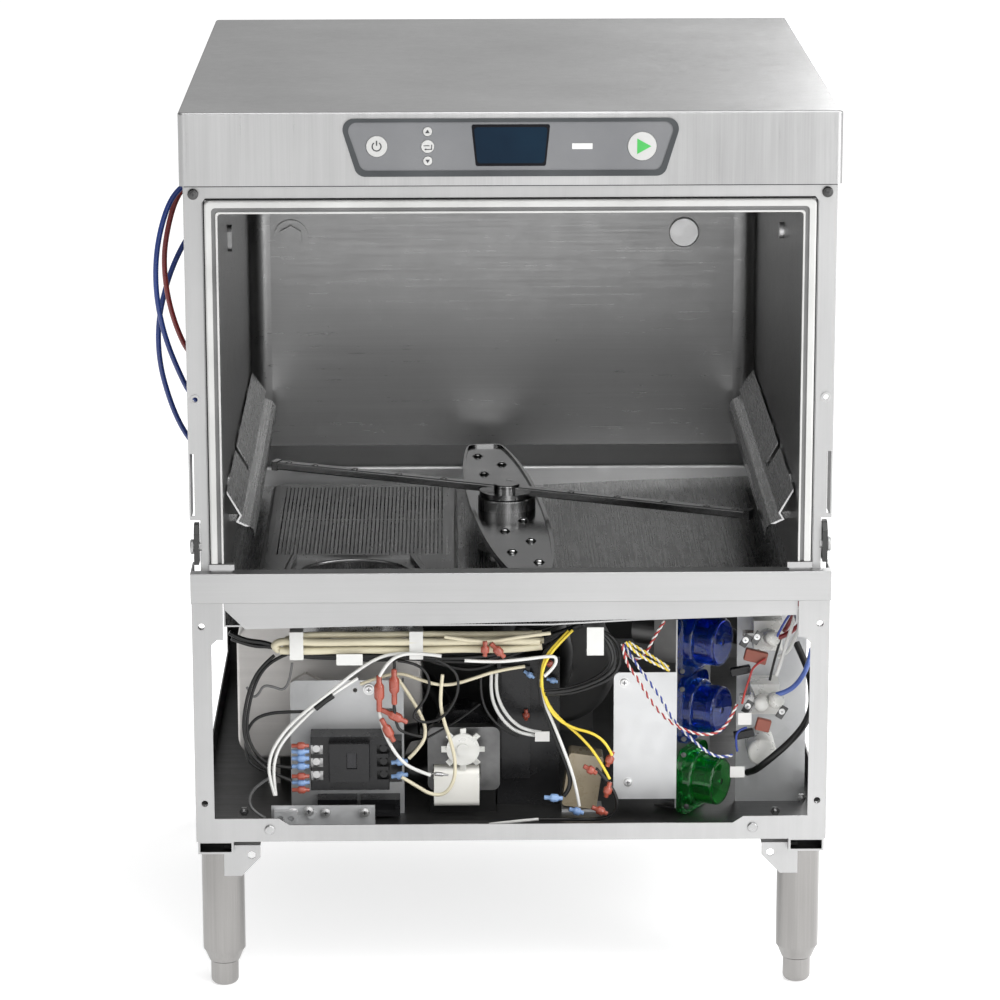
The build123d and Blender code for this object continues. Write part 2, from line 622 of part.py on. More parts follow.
# ---- Machine compartment: tank and pumps ----
def booster_tank():
    """Stainless heating tank on four feet."""
    tank = block(-268, -86, -150, 40, 190, 330)
    tank = fillet(tank.edges().filter_by(Axis.Y), 22)
    tank = fillet(tank.faces().sort_by(Axis.Y)[0].edges(), 3)
    room = block(-266.5, -87.5, -148.5, 38.5, 191.5, 328.5)
    tank -= fillet(room.edges().filter_by(Axis.Y), 20.5)
    for x in (-240, -120):
        for y in (-130, 15):
            tank += block(x, x + 12, y, y + 12, BASE_FLOOR, 191)
    tank += hexagon((-200, -150, 262), (-200, -158, 262), 30)
    return tank


def wash_pump():
    """Volute, motor with end caps, foot and the rising outlet."""
    x, z = WASH_PUMP
    volute = rod((x, -45, z), (x, 5, z), WASH_VOLUTE_RADIUS)
    volute = fillet(volute.faces().sort_by(Axis.Y)[0].edges(), 8)
    volute += rod((SPRAY[0], SPRAY[1], z), (SPRAY[0], SPRAY[1], 345), 14)
    volute += rod((x, -70, z), (x, -45, z), 16)
    volute += rod((x, 5, z), (x, 150, z), 55)
    volute += rod((x, 150, z), (x, 172, z), 48)
    volute += block(x - 40, x + 40, 40, 110, BASE_FLOOR, z - 40)
    volute -= rod((x, -36, z), (x, -4, z), 50)
    volute -= rod((x, -71, z), (x, -30, z), 13)
    volute -= rod((x, -10, z), (x, 140, z), 8 + RUNNING)
    return volute


def wash_pump_impeller():
    """Closed impeller on the motor shaft."""
    x, z = WASH_PUMP
    wheel = rod((x, -30, z), (x, -26, z), 42) - rod((x, -31, z), (x, -25, z), 14)
    wheel += rod((x, -14, z), (x, -10, z), 42)
    for turn in range(0, 360, 60):
        spread = radians(turn)
        a = (x + 12 * cos(spread), -26, z + 12 * sin(spread))
        vane = Plane(origin=a, z_dir=(0, 1, 0)) * Rot(0, 0, -turn - 30)
        wheel += vane * Pos(13, 0, 6) * Box(26, 3, 12.4)
    wheel += rod((x, -24, z), (x, 130, z), 8)
    return wheel


def drain_motor():
    """Laminated core with its coil, bearing straps, volute and standing bracket."""
    x, z = DRAIN_PUMP
    core = fillet(block(-80, -10, -236, -222, 184, 248).edges().filter_by(Axis.Y), 7)
    core = core - block(-75, -29, -237, -221, 196, 210.5) - rod((x, -240, z), (x, -220, z), 11)
    coil = fillet(block(-74, -30, -246, -214, 170, 209).edges().filter_by(Axis.X), 6)
    coil -= block(-90, 0, -236.2, -221.8, 183.8, 196.2)
    volute = rod((x, -205, z), (x, -168, z), 27)
    volute += rod((x, -222, z), (x, -205, z), 14)
    volute -= rod((x, -223, z), (x, -185, z), 3 + RUNNING)
    volute += rod((x - 20, -186, z), (x - 42, -186, z), 9)
    bracket = block(-78, -14, -222, -220.5, BASE_FLOOR, 214)
    bracket -= rod((x, -223, z), (x, -219, z), 16)
    bracket -= block(-75, -29, -223, -219, 169, 210.5)
    bracket += block(-78, -14, -220.5, -200, BASE_FLOOR, BASE_FLOOR + 1.5)
    return group([core, coil, volute, bracket])


def drain_motor_fan():
    """Cooling fan and rotor on the drain pump's shaft."""
    x, z = DRAIN_PUMP
    fan = rod((x, -248, z), (x, -245, z), 16)
    for turn in range(0, 360, 45):
        blade = Plane(origin=(x, -246.5, z), z_dir=(0, 1, 0)) * Rot(0, 0, turn)
        fan += blade * Pos(17.5, 0, 0) * Rot(25, 0, 0) * Box(7, 6, 1.2)
    fan += rod((x, -249.5, z), (x, -248, z), 6)
    fan += rod((x, -245, z), (x, -190, z), 3)
    fan += rod((x, -237, z), (x, -223, z), 10)
    return fan


# ---- Machine compartment: electrical parts ----
ARMATURE = (-153.0, 223.0)


def contactor_plate():
    """Galvanised mounting plate standing on the base pan."""
    plate = block(-213, -103, -226, -224.5, BASE_FLOOR, 293)
    plate = fillet(plate.edges().filter_by(Axis.Y).sort_by(Axis.Z)[-2:], 6)
    plate += block(-213, -103, -224.5, -206, BASE_FLOOR, BASE_FLOOR + SHEET)
    rib = block(-104.5, -103, -224.5, -208, BASE_FLOOR, 290)
    plate += rib
    for x, z in ((-150, 283), (-203, 180), (-113, 283)):
        plate -= rod((x, -227, z), (x, -223, z), 2.2)
    for z in (166, 262):
        plate -= block(-128, -110, -227, -223, z - 2.5, z + 2.5)
    return plate


def contactor_body():
    """Three-pole contactor and the two fuse blocks under it."""
    body = block(-193, -117, -252, -226, 190, 244)
    body += block(-175, -136, -264, -252, 202, 240)
    body = fillet(body.edges().filter_by(Axis.Z), 1)
    body += block(-117, -105, -246, -226, 196, 238)
    for z in (231, 218, 205):
        body -= block(-194, -181, -253, -244, z - 4.5, z + 4.5)
        body -= block(-129, -116.5, -253, -244, z - 4.5, z + 4.5)
    x, z = ARMATURE
    body -= block(x - 5, x + 5, -265, -240, z - 8, z + 8)
    fuses = []
    for left, right in ((-187, -149), (-145, -107)):
        fuse = block(left, right, -246, -226, 161, 178)
        fuse -= block(left + 5, right - 5, -247, -242, 165, 174)
        fuses.append(fuse)
    screws = []
    for z in (231, 218, 205):
        for x in (-187.5, -122.5):
            screws.append(rod((x, -244, z), (x, -249, z), 3.6))
    return group([body] + fuses + screws)


def contactor_armature():
    """Push indicator carried by the contactor's moving armature."""
    x, z = ARMATURE
    return block(x - 4.6, x + 4.6, -262.5, -250, z - 7.6, z + 7.6)


def relay_block():
    """Time relay module, plug-in relay and the ground lug strip."""
    module = block(-12, 49, -200, -172, BASE_FLOOR, 308)
    module += block(-8, 20, -206, -200, 186, 300)
    plug_in = Pos(71, -213, 189) * Rot(0, 8, 0) * Box(34, 26, 54)
    plug_in = fillet(plug_in.edges().filter_by(Axis.Y), 3)
    saddle = block(50.5, 90, -226, -200, BASE_FLOOR, 160.2)
    strip = block(-231, -131, -266, -264.5, BASE_FLOOR, 179)
    strip += block(-231, -131, -264.5, -250, BASE_FLOOR, BASE_FLOOR + SHEET)
    for x in (-192.7, -178.2, -139.6):
        strip += rod((x, -266, 171), (x, -269, 171), 4.4)
    lug = block(-228, -206, -276, -266, 162, 176)
    lug -= rod((-222, -277, 169), (-222, -270, 169), 3)
    lug -= rod((-212, -277, 169), (-212, -270, 169), 3)
    return group([module, plug_in, saddle, strip, lug])


# ---- Chemical pumps ----
PUMP_FRAME = Plane(
    origin=(PUMP_CORNER[0], PUMP_CORNER[1], 0),
    x_dir=(sin(radians(PUMP_TURN)), cos(radians(PUMP_TURN)), 0),
    z_dir=(cos(radians(PUMP_TURN)), -sin(radians(PUMP_TURN)), 0))


def on_bracket(shape, height):
    """Place a shape made along +Z on the bracket's side face at a pump height."""
    return PUMP_FRAME * Pos(PUMP_SETBACK, height, 0) * shape


def pump_bracket():
    """Folded bracket with three gearmotors behind it."""
    sheet = PUMP_FRAME * (Pos(36, 262.5, -0.75) * Box(72, 190, 1.5))
    sheet += PUMP_FRAME * (Pos(44, 158.25, -18) * Box(40, 1.5, 36))
    x, y = PUMP_CORNER
    front = block(x - 61, x, y, y + 1.5, 177, 305)
    sheet += fillet(front.edges().filter_by(Axis.Y).sort_by(Axis.X)[:2], 6)
    for height in PUMP_HEIGHTS:
        sheet -= on_bracket(Cylinder(5, 10), height)
    bracket = [sheet]
    for height in PUMP_HEIGHTS:
        motor = Pos(4, 0, -16.5) * Box(40, 46, 30) + Pos(8, 0, -46) * Cylinder(15, 30)
        motor -= Pos(0, 0, -2) * Cylinder(ROTOR_SHAFT_RADIUS + RUNNING, 40)
        bracket.append(on_bracket(motor, height))
    return group(bracket)


def pump_housings():
    """Three clear peristaltic pump covers on square flanges."""
    housings = []
    for height in PUMP_HEIGHTS:
        flange = fillet((Pos(0, 0, 3) * Box(57, 66, 6)).edges().filter_by(Axis.Z), 12)
        barrel = Pos(0, 0, PUMP_REACH / 2) * Cylinder(PUMP_RADIUS, PUMP_REACH)
        barrel = fillet(barrel.faces().sort_by(Axis.Z)[-1].edges(), 3)
        collar = Pos(0, 0, 9) * Cylinder(PUMP_COLLAR, 10)
        collar = fillet(collar.faces().sort_by(Axis.Z)[-1].edges(), 3)
        room = PUMP_REACH - 3
        cover = flange + barrel + collar
        cover -= Pos(0, 0, room / 2 - 1) * Cylinder(PUMP_RADIUS - 3, room + 2)
        cover -= Pos(0, 0, PUMP_REACH) * Cylinder(ROTOR_SHAFT_RADIUS + RUNNING, 20)
        housings.append(on_bracket(cover, height))
    return group(housings)


def pump_rotor(height):
    """Peristaltic rotor: two discs, three rollers and the drive shaft."""
    rotor = Pos(0, 0, PUMP_REACH / 2 - 8) * Cylinder(ROTOR_SHAFT_RADIUS, PUMP_REACH + 14)
    for z in (8, 24):
        rotor += Pos(0, 0, z) * Cylinder(16, 2)
    for turn in (0, 120, 240):
        rotor += Rot(0, 0, turn) * Pos(12, 0, 16) * Cylinder(3.6, 16)
    return on_bracket(rotor, height)


# ---- Valves, hoses and leads ----
def solenoid_valves():
    """Two solenoid valves and a clear bowl on one upright plate."""
    plate = block(222, 290, -195, -193.5, BASE_FLOOR, 356)
    bowl = rod((244.7, -195, 220.8), (244.7, -238, 220.8), 14)
    bowl = fillet(bowl.faces().sort_by(Axis.Y)[0].edges(), 3)
    solids = [plate, bowl]
    for x, z in ((249.7, 335.7), (247.5, 271.5)):
        valve = block(x - 14, x + 14, -226, -195, z - 15, z + 15)
        valve += rod((x, -226, z), (x, -240, z), 8)
        for shift in (-6, 6):
            valve += block(x - 24, x - 14, -222 + shift, -221.2 + shift, z - 3, z + 3)
        solids.append(valve)
    return group(solids)


def hoses():
    """Suction, drain, fill and chemical hoses, and the feed pipe of the upper arms."""
    suction = tube([(-68, -183, 352), (-25, -183, 351), (18, -179, 345), (44, -166, 330),
                    (52, -142, 300), (52, -114, 270), (50, -88, 252), (50, -70, 250)], 12)
    drain = tube([(-88, -186, 229), (-102, -184, 226), (-112, -176, 206), (-112, -168, 182),
                  (-100, -152, 172), (-70, -120, 172), (-56, -60, 174), (-58, 20, 176),
                  (-70, 100, 180), (-104, 172, 192), (-152, 228, 207), (-190, 264, 214),
                  (-200, STUB_START, 215)], 9)
    fill = tube([(200, STUB_START, 215), (206, 256, 218), (228, 184, 226), (246, 96, 240),
                 (254, 0, 256), (254, -90, 268), (250, -160, 271), (248, -193.5, 271.5)], 7)
    chemical = tube([(232, -222, 196), (238, -246, 206), (252, -258, 222), (270, -262, 240),
                     (284, -257, 255), (292, -244, 270), (292, -220, 294), (279, -203, 322)], 3.4)
    x, y = SPRAY
    back = FEED_BACK
    feed = tube([(x, y, 800), (x, y + 4, 822), (x, y + 60, 830), (x + 4, y + 150, 831),
                 (x + 4, y + 250, 829), (x + 2, y + 302, 818), (x, back, 790), (x + 2, back, 700),
                 (x, back, 610), (x + 2, back, 520), (x, back, 430), (x + 2, back, 350)], 8)
    return group([suction, drain, fill, chemical, feed])


def harness_leads():
    """Main leads of the wiring harness, each on its own layer."""
    routes = [
        (3.2, [(33, -272, 349), (-12, -272, 346.5), (-70, -272, 346), (-130, -272, 346.5),
               (-186, -272, 346), (-216, -272, 346.5), (-226, -272, 343.5), (-226, -272, 337.5),
               (-217, -272, 334.5), (-188, -272, 334.8), (-132, -272, 335.8), (-74, -272, 335.5),
               (-24, -272, 338)]),
        (3.4, [(60, -288, 352), (20, -288, 348), (-20, -288, 328), (-22, -288, 290),
               (8, -288, 262), (52, -288, 258), (88, -288, 280), (94, -288, 318), (70, -288, 346)]),
        (1.5, [(-243, -254, 300), (-250, -254, 250), (-240, -254, 218), (-196, -254, 212)]),
        (1.5, [(-262, -248, 330), (-268, -248, 280), (-262, -248, 226), (-240, -248, 203),
               (-198, -248, 200)]),
        (1.5, [(-84, -258, 330), (-118, -258, 300), (-140, -258, 268), (-146, -262, 250)]),
        (1.5, [(-60, -282, 342), (-30, -282, 318), (-10, -282, 300), (4, -282, 274),
               (30, -282, 262), (52, -282, 230), (56, -258, 206)]),
        (1.5, [(-10, -295, 346), (4, -295, 318), (20, -295, 290), (48, -295, 262),
               (66, -292, 236), (74, -280, 212)]),
        (2.0, [(108, -268, 334), (124, -270, 318), (150, -272, 290), (166, -274, 262),
               (186, -276, 248), (208, -272, 252), (226, -262, 276), (236, -250, 296)]),
        (2.0, [(104, -276, 332), (130, -280, 300), (160, -282, 254), (196, -278, 222),
               (224, -262, 212)]),
        (2.0, [(110, -262, 336), (130, -260, 326), (156, -258, 314)]),
    ]
    return group([tube(points, radius) for radius, points in routes])


def harness_clips():
    """Two harness clips and a clamp under the tub lip."""
    solids = []
    for x in (-204, -90):
        clip = block(x - 6.5, x + 6.5, -280, -266, 329.5, 357)
        clip -= block(x - 7, x + 7, -277.5, -267, 331.5, 352)
        clip += block(x - 5, x + 5, -266, -262, 336, 356)
        solids.append(clip)
    solids.append(block(72, 88, -300, -298.5, 340, 366) + block(72, 88, -300, -282, 338.5, 340))
    return solids


TUBE_ENTRIES = {
    "blue_tube_front": ((-286, -226, 786), (-286, -226, 560)),
    "red_tube": ((-286, -206, 786), (-286, -206, 596)),
    "blue_tube_rear": ((-286, -186, 742), (-286, -186, 508)),
}


def fasteners():
    """Screws, panel nut inserts, harness clips and the holders of the side tubes."""
    solids = harness_clips()
    front = FRAME_FRONT - SHEET
    for x in (-292, 292):
        screw = rod((x, front, 784), (x, front - 3.5, 784), 5)
        solids.append(fillet(screw.faces().sort_by(Axis.Y)[0].edges(), 1.5))
    for x in (-POST_HOLE_X, POST_HOLE_X):
        for z in POST_HOLES:
            insert = hexagon((x, FRAME_FRONT + SHEET, z), (x, FRAME_FRONT + 7, z), 10)
            solids.append(insert - rod((x, FRAME_FRONT, z), (x, FRAME_FRONT + 8, z), 3.2))
    for x in (-294, 294):
        ring = rod((x, FRAME_FRONT, UPPER_HOLE_Z), (x, FRAME_FRONT - 1.2, UPPER_HOLE_Z), 4.6)
        solids.append(ring - rod((x, FRAME_FRONT + 1, UPPER_HOLE_Z), (x, FRAME_FRONT - 2, UPPER_HOLE_Z), 2.5))
    for x in (-231, 231):
        rivet = rod((x, FRAME_FRONT, 168), (x, FRAME_FRONT - 2.2, 168), 5)
        solids.append(fillet(rivet.faces().sort_by(Axis.Y)[0].edges(), 1.5))
    for start, end in TUBE_ENTRIES.values():
        for x, y, z in (start, end):
            solids.append(block(x, -CHAMBER_HALF - SHEET, y - 6, y + 6, z - 6, z + 6))
    return group(solids)


SIDE_TUBES = {
    "blue_tube_front": [
        (-286, -226, 786), (-302, -227, 782), (-317, -229, 768), (-327, -232, 742),
        (-333, -235, 710), (-333, -237, 674), (-326, -236, 636), (-314, -233, 602),
        (-302, -229, 575), (-286, -226, 560)],
    "red_tube": [
        (-286, -206, 786), (-301, -207, 780), (-314, -209, 764), (-322, -211, 738),
        (-327, -212, 708), (-325, -212, 674), (-317, -210, 640), (-304, -208, 610),
        (-286, -206, 596)],
    "blue_tube_rear": [
        (-286, -186, 742), (-302, -188, 728), (-317, -191, 702), (-328, -195, 672),
        (-335, -198, 638), (-334, -199, 602), (-326, -197, 568), (-316, -193, 540),
        (-303, -188, 518), (-286, -186, 508)],
}
SIDE_TUBE_RADIUS = 2.6


# ---- Write every sub-part ----
def make_parts():
    """All sub-parts by node name."""
    post = front_post()
    hinge = door_hinge()
    rail = rack_rail()
    wash = wash_arm()
    rinse = rinse_arm()
    rinse_middle = (RINSE_HUB[0] + RINSE_HUB[1]) / 2
    rinse_drop = rinse_middle - MANIFOLD_SHOULDER
    parts = {
        "hood": hood(),
        "control_bezel": control_bezel(),
        "control_overlay": control_overlay(),
        "display_window": display_outline(-324.5, PANEL_BACK),
        "control_board": control_board(),
        "front_post_left": post,
        "front_post_right": other_side(post),
        "top_rails": top_rails(),
        "sill_bar": sill_bar(),
        "door_hinge_left": hinge,
        "door_hinge_right": other_side(hinge),
        "base_pan": base_pan(),
        "back_panel": back_panel(),
        "chamber_shell": chamber_shell(),
        "tub_floor": tub_floor(),
        "sump_well": sump_well(),
        "door_gasket": door_gasket(),
        "rack_rail_left": rail,
        "rack_rail_right": other_side(rail),
        "chamber_plugs": chamber_plugs(),
        "strainer_pan": strainer_pan(),
        "strainer_basket": strainer_basket(),
        "lower_manifold": lower_manifold(),
        "lower_wash_arm": place_arm(wash, WASH_HUB[0] + 1, 4.4),
        "lower_rinse_arm": place_arm(rinse, rinse_middle, -24.5),
        "upper_manifold": upper_manifold(),
        "upper_wash_arm": place_arm(wash, UPPER_SHOULDER - 1.4, 84, flip=True),
        "upper_rinse_arm": place_arm(rinse, UPPER_SHOULDER - rinse_drop, -8, flip=True),
        "leg_mounts": group(four_corners(leg_mount())),
        "leg_tubes": group(four_corners(leg_tube())),
        "booster_tank": booster_tank(),
        "wash_pump": wash_pump(),
        "wash_pump_impeller": wash_pump_impeller(),
        "drain_motor": drain_motor(),
        "drain_motor_fan": drain_motor_fan(),
        "contactor_plate": contactor_plate(),
        "contactor_body": contactor_body(),
        "contactor_armature": contactor_armature(),
        "relay_block": relay_block(),
        "pump_bracket": pump_bracket(),
        "pump_housings": pump_housings(),
        "solenoid_valves": solenoid_valves(),
        "hoses": hoses(),
        "harness_leads": harness_leads(),
        "fasteners": fasteners(),
    }
    for name in BUTTONS:
        parts[name] = button(name)
    for corner, shape in zip(CORNERS, four_corners(foot())):
        parts[f"foot_{corner}"] = shape
    for name, height in zip(("detergent_rotor", "rinse_aid_rotor", "delimer_rotor"), PUMP_HEIGHTS):
        parts[name] = pump_rotor(height)
    for name, points in SIDE_TUBES.items():
        parts[name] = tube(points, SIDE_TUBE_RADIUS)
        print(name, "bend radii", [round(radius) for radius in bend_radii(points)])
    return parts


os.makedirs("parts", exist_ok=True)
for node, shape in make_parts().items():
    export_step(shape, f"parts/{node}.step")
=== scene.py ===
import math
import bmesh
import bpy
from mathutils import Matrix, Vector


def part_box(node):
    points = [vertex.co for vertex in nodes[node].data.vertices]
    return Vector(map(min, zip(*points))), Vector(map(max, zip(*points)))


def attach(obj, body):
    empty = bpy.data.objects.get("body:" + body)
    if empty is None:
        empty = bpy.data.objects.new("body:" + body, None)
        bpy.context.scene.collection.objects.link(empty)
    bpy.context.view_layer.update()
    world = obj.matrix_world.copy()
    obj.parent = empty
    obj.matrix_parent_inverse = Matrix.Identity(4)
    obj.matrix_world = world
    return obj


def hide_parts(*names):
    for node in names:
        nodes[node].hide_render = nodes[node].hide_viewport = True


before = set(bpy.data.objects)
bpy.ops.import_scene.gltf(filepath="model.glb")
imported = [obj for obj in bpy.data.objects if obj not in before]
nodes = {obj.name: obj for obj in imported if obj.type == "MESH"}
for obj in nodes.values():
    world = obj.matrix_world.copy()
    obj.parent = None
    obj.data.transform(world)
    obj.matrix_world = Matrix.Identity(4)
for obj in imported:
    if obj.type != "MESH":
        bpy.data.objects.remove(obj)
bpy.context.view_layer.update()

scene = bpy.context.scene
scene.view_settings.view_transform = "Standard"
CABINET = "cabinet"
FRONTWARD, BACKWARD = (0, -1, 0), (0, 1, 0)
RIGHTWARD, LEFTWARD = (1, 0, 0), (-1, 0, 0)
DOWNWARD = (0, 0, -1)


def mm(*values):
    """Millimetres to metres."""
    return Vector(value / 1000 for value in values)


# ---------------------------------------------------------------- camera
CAMERA_PLACE = (-0.05615, -4.0157, 1.4304)
CAMERA_PITCH = math.radians(14.187)
CAMERA_YAW = math.radians(0.709)
CAMERA_ROLL = math.radians(-0.104)
LENS = 146.95
SENSOR_WIDTH = 36
FARTHEST_SEEN = 200


def make_camera():
    """Camera at the viewpoint of the reference view."""
    data = bpy.data.cameras.new("camera")
    data.lens = LENS
    data.sensor_width = SENSOR_WIDTH
    data.clip_end = FARTHEST_SEEN
    camera = bpy.data.objects.new("camera", data)
    scene.collection.objects.link(camera)
    turn = Matrix.Rotation(-CAMERA_YAW, 4, "Z")
    tilt = Matrix.Rotation(math.pi / 2 - CAMERA_PITCH, 4, "X")
    roll = Matrix.Rotation(CAMERA_ROLL, 4, "Z")
    camera.matrix_world = Matrix.Translation(CAMERA_PLACE) @ turn @ tilt @ roll
    scene.camera = camera


# ---------------------------------------------------------------- material helpers
def new_material(name):
    """An empty node material with its Principled shader."""
    material = bpy.data.materials.new(name)
    material.use_nodes = True
    shader = material.node_tree.nodes["Principled BSDF"]
    return material, material.node_tree, shader


def place(tree, scale):
    """Object coordinates, scaled along each axis."""
    source = tree.nodes.new("ShaderNodeTexCoord")
    mapping = tree.nodes.new("ShaderNodeMapping")
    mapping.inputs["Scale"].default_value = scale
    tree.links.new(source.outputs["Object"], mapping.inputs["Vector"])
    return mapping.outputs["Vector"]


def noise(tree, scale, detail=2.0, roughness=0.5):
    """Noise stretched by a scale on each axis."""
    texture = tree.nodes.new("ShaderNodeTexNoise")
    texture.inputs["Scale"].default_value = 1.0
    texture.inputs["Detail"].default_value = detail
    texture.inputs["Roughness"].default_value = roughness
    tree.links.new(place(tree, scale), texture.inputs["Vector"])
    return texture.outputs["Fac"]


def spread(tree, value, low, high, start=0.3, end=0.7):
    """Value mapped from start..end to low..high."""
    ramp = tree.nodes.new("ShaderNodeMapRange")
    ramp.inputs["From Min"].default_value = start
    ramp.inputs["From Max"].default_value = end
    ramp.inputs["To Min"].default_value = low
    ramp.inputs["To Max"].default_value = high
    tree.links.new(value, ramp.inputs["Value"])
    return ramp.outputs["Result"]


def blend(tree, factor, first, second):
    """Colour mix by a factor."""
    mix = tree.nodes.new("ShaderNodeMix")
    mix.data_type = "RGBA"
    mix.inputs["A"].default_value = (*first, 1)
    mix.inputs["B"].default_value = (*second, 1)
    tree.links.new(factor, mix.inputs["Factor"])
    return mix.outputs["Result"]


def bump(tree, shader, height, strength, distance):
    """Bump from a height value."""
    node = tree.nodes.new("ShaderNodeBump")
    node.inputs["Strength"].default_value = strength
    node.inputs["Distance"].default_value = distance
    tree.links.new(height, node.inputs["Height"])
    tree.links.new(node.outputs["Normal"], shader.inputs["Normal"])


def added(tree, first, second, share):
    """First value plus a share of the second."""
    scaled = tree.nodes.new("ShaderNodeMath")
    scaled.operation = "MULTIPLY_ADD"
    scaled.inputs[1].default_value = share
    tree.links.new(second, scaled.inputs[0])
    tree.links.new(first, scaled.inputs[2])
    return scaled.outputs["Value"]


def lit(grey, warmth=0.0):
    """A linear grey, a little warm or cool."""
    return (grey * (1 + warmth), grey, grey * (1 - warmth))


# noise scales along X, Y and Z: brushed steel's streaks run along the axis with the small number
GRAIN = {"x": (9, 700, 700), "y": (700, 9, 700), "z": (700, 700, 9), "none": (60, 60, 60)}
COARSER = 7                 # how much wider the deep brush streaks are than the fine ones
BRUSH_RELIEF = 0.0004       # bump heights, in metres
MOULD_RELIEF = 0.0002
FLOW_RELIEF = 0.002
PLASTIC_IOR = 1.45
SPANGLE_SCALE = 90.0


def steel(name, light, dark, rough=0.3, grain="x", depth=0.05, cloud=(3, 3, 3), warmth=0.0):
    """Brushed stainless: long fine streaks, slow tone changes and small scuffs."""
    material, tree, shader = new_material(name)
    fine = noise(tree, GRAIN[grain], 2.0)
    coarse = noise(tree, tuple(value / COARSER for value in GRAIN[grain]), 2.0)
    slow = noise(tree, cloud, 3.0)
    tone = added(tree, added(tree, slow, fine, 0.35), coarse, 0.3)
    share = spread(tree, tone, 0.0, 1.0, 0.55, 1.1)
    colour = blend(tree, share, lit(dark, warmth), lit(light, warmth))
    tree.links.new(colour, shader.inputs["Base Color"])
    scuffs = noise(tree, (45, 45, 45), 4.0, 0.7)
    wear = added(tree, fine, scuffs, 0.6)
    tree.links.new(spread(tree, wear, rough * 0.8, rough * 1.3, 0.5, 1.1), shader.inputs["Roughness"])
    shader.inputs["Metallic"].default_value = 1.0
    bump(tree, shader, coarse, depth, BRUSH_RELIEF)
    return material


def plastic(name, light, dark, rough=0.45, grain=400, depth=0.1, coat=0.0, gloss=0.5):
    """Moulded plastic: fine texture, slight tone change and handling marks."""
    material, tree, shader = new_material(name)
    slow = noise(tree, (18, 18, 18), 3.0)
    fine = noise(tree, (grain, grain, grain), 2.0)
    tree.links.new(blend(tree, spread(tree, slow, 0, 1), dark, light), shader.inputs["Base Color"])
    marks = noise(tree, (70, 70, 70), 4.0, 0.7)
    tree.links.new(spread(tree, marks, rough * 0.8, rough * 1.25), shader.inputs["Roughness"])
    shader.inputs["Coat Weight"].default_value = coat
    shader.inputs["Specular IOR Level"].default_value = gloss
    bump(tree, shader, fine, depth, MOULD_RELIEF)
    return material


def clear(name, tint, deep, rough=0.08, see=0.75):
    """Clear tinted moulding with flow lines."""
    material, tree, shader = new_material(name)
    slow = noise(tree, (40, 40, 120), 2.0)
    tree.links.new(blend(tree, spread(tree, slow, 0, 1), deep, tint), shader.inputs["Base Color"])
    tree.links.new(spread(tree, noise(tree, (90, 90, 90), 3.0), rough * 0.6, rough * 1.8),
                   shader.inputs["Roughness"])
    shader.inputs["Transmission Weight"].default_value = see
    shader.inputs["IOR"].default_value = PLASTIC_IOR
    shader.inputs["Coat Weight"].default_value = 0.1
    bump(tree, shader, noise(tree, (25, 25, 25), 2.0), 0.08, FLOW_RELIEF)
    return material


def galvanised(name, light, dark):
    """Zinc coated sheet with faint spangle."""
    material, tree, shader = new_material(name)
    cells = tree.nodes.new("ShaderNodeTexVoronoi")
    cells.inputs["Scale"].default_value = SPANGLE_SCALE
    tree.links.new(place(tree, (1, 1, 1)), cells.inputs["Vector"])
    grey = tree.nodes.new("ShaderNodeRGBToBW")
    tree.links.new(cells.outputs["Color"], grey.inputs["Color"])
    tone = added(tree, noise(tree, (9, 9, 9), 3.0), grey.outputs["Val"], 0.12)
    share = spread(tree, tone, 0, 1, 0.3, 0.75)
    tree.links.new(blend(tree, share, lit(dark, -0.01), lit(light, -0.01)), shader.inputs["Base Color"])
    tree.links.new(spread(tree, grey.outputs["Val"], 0.42, 0.56, 0.2, 0.8), shader.inputs["Roughness"])
    shader.inputs["Metallic"].default_value = 0.6
    bump(tree, shader, noise(tree, (200, 200, 200), 2.0), 0.05, MOULD_RELIEF)
    return material


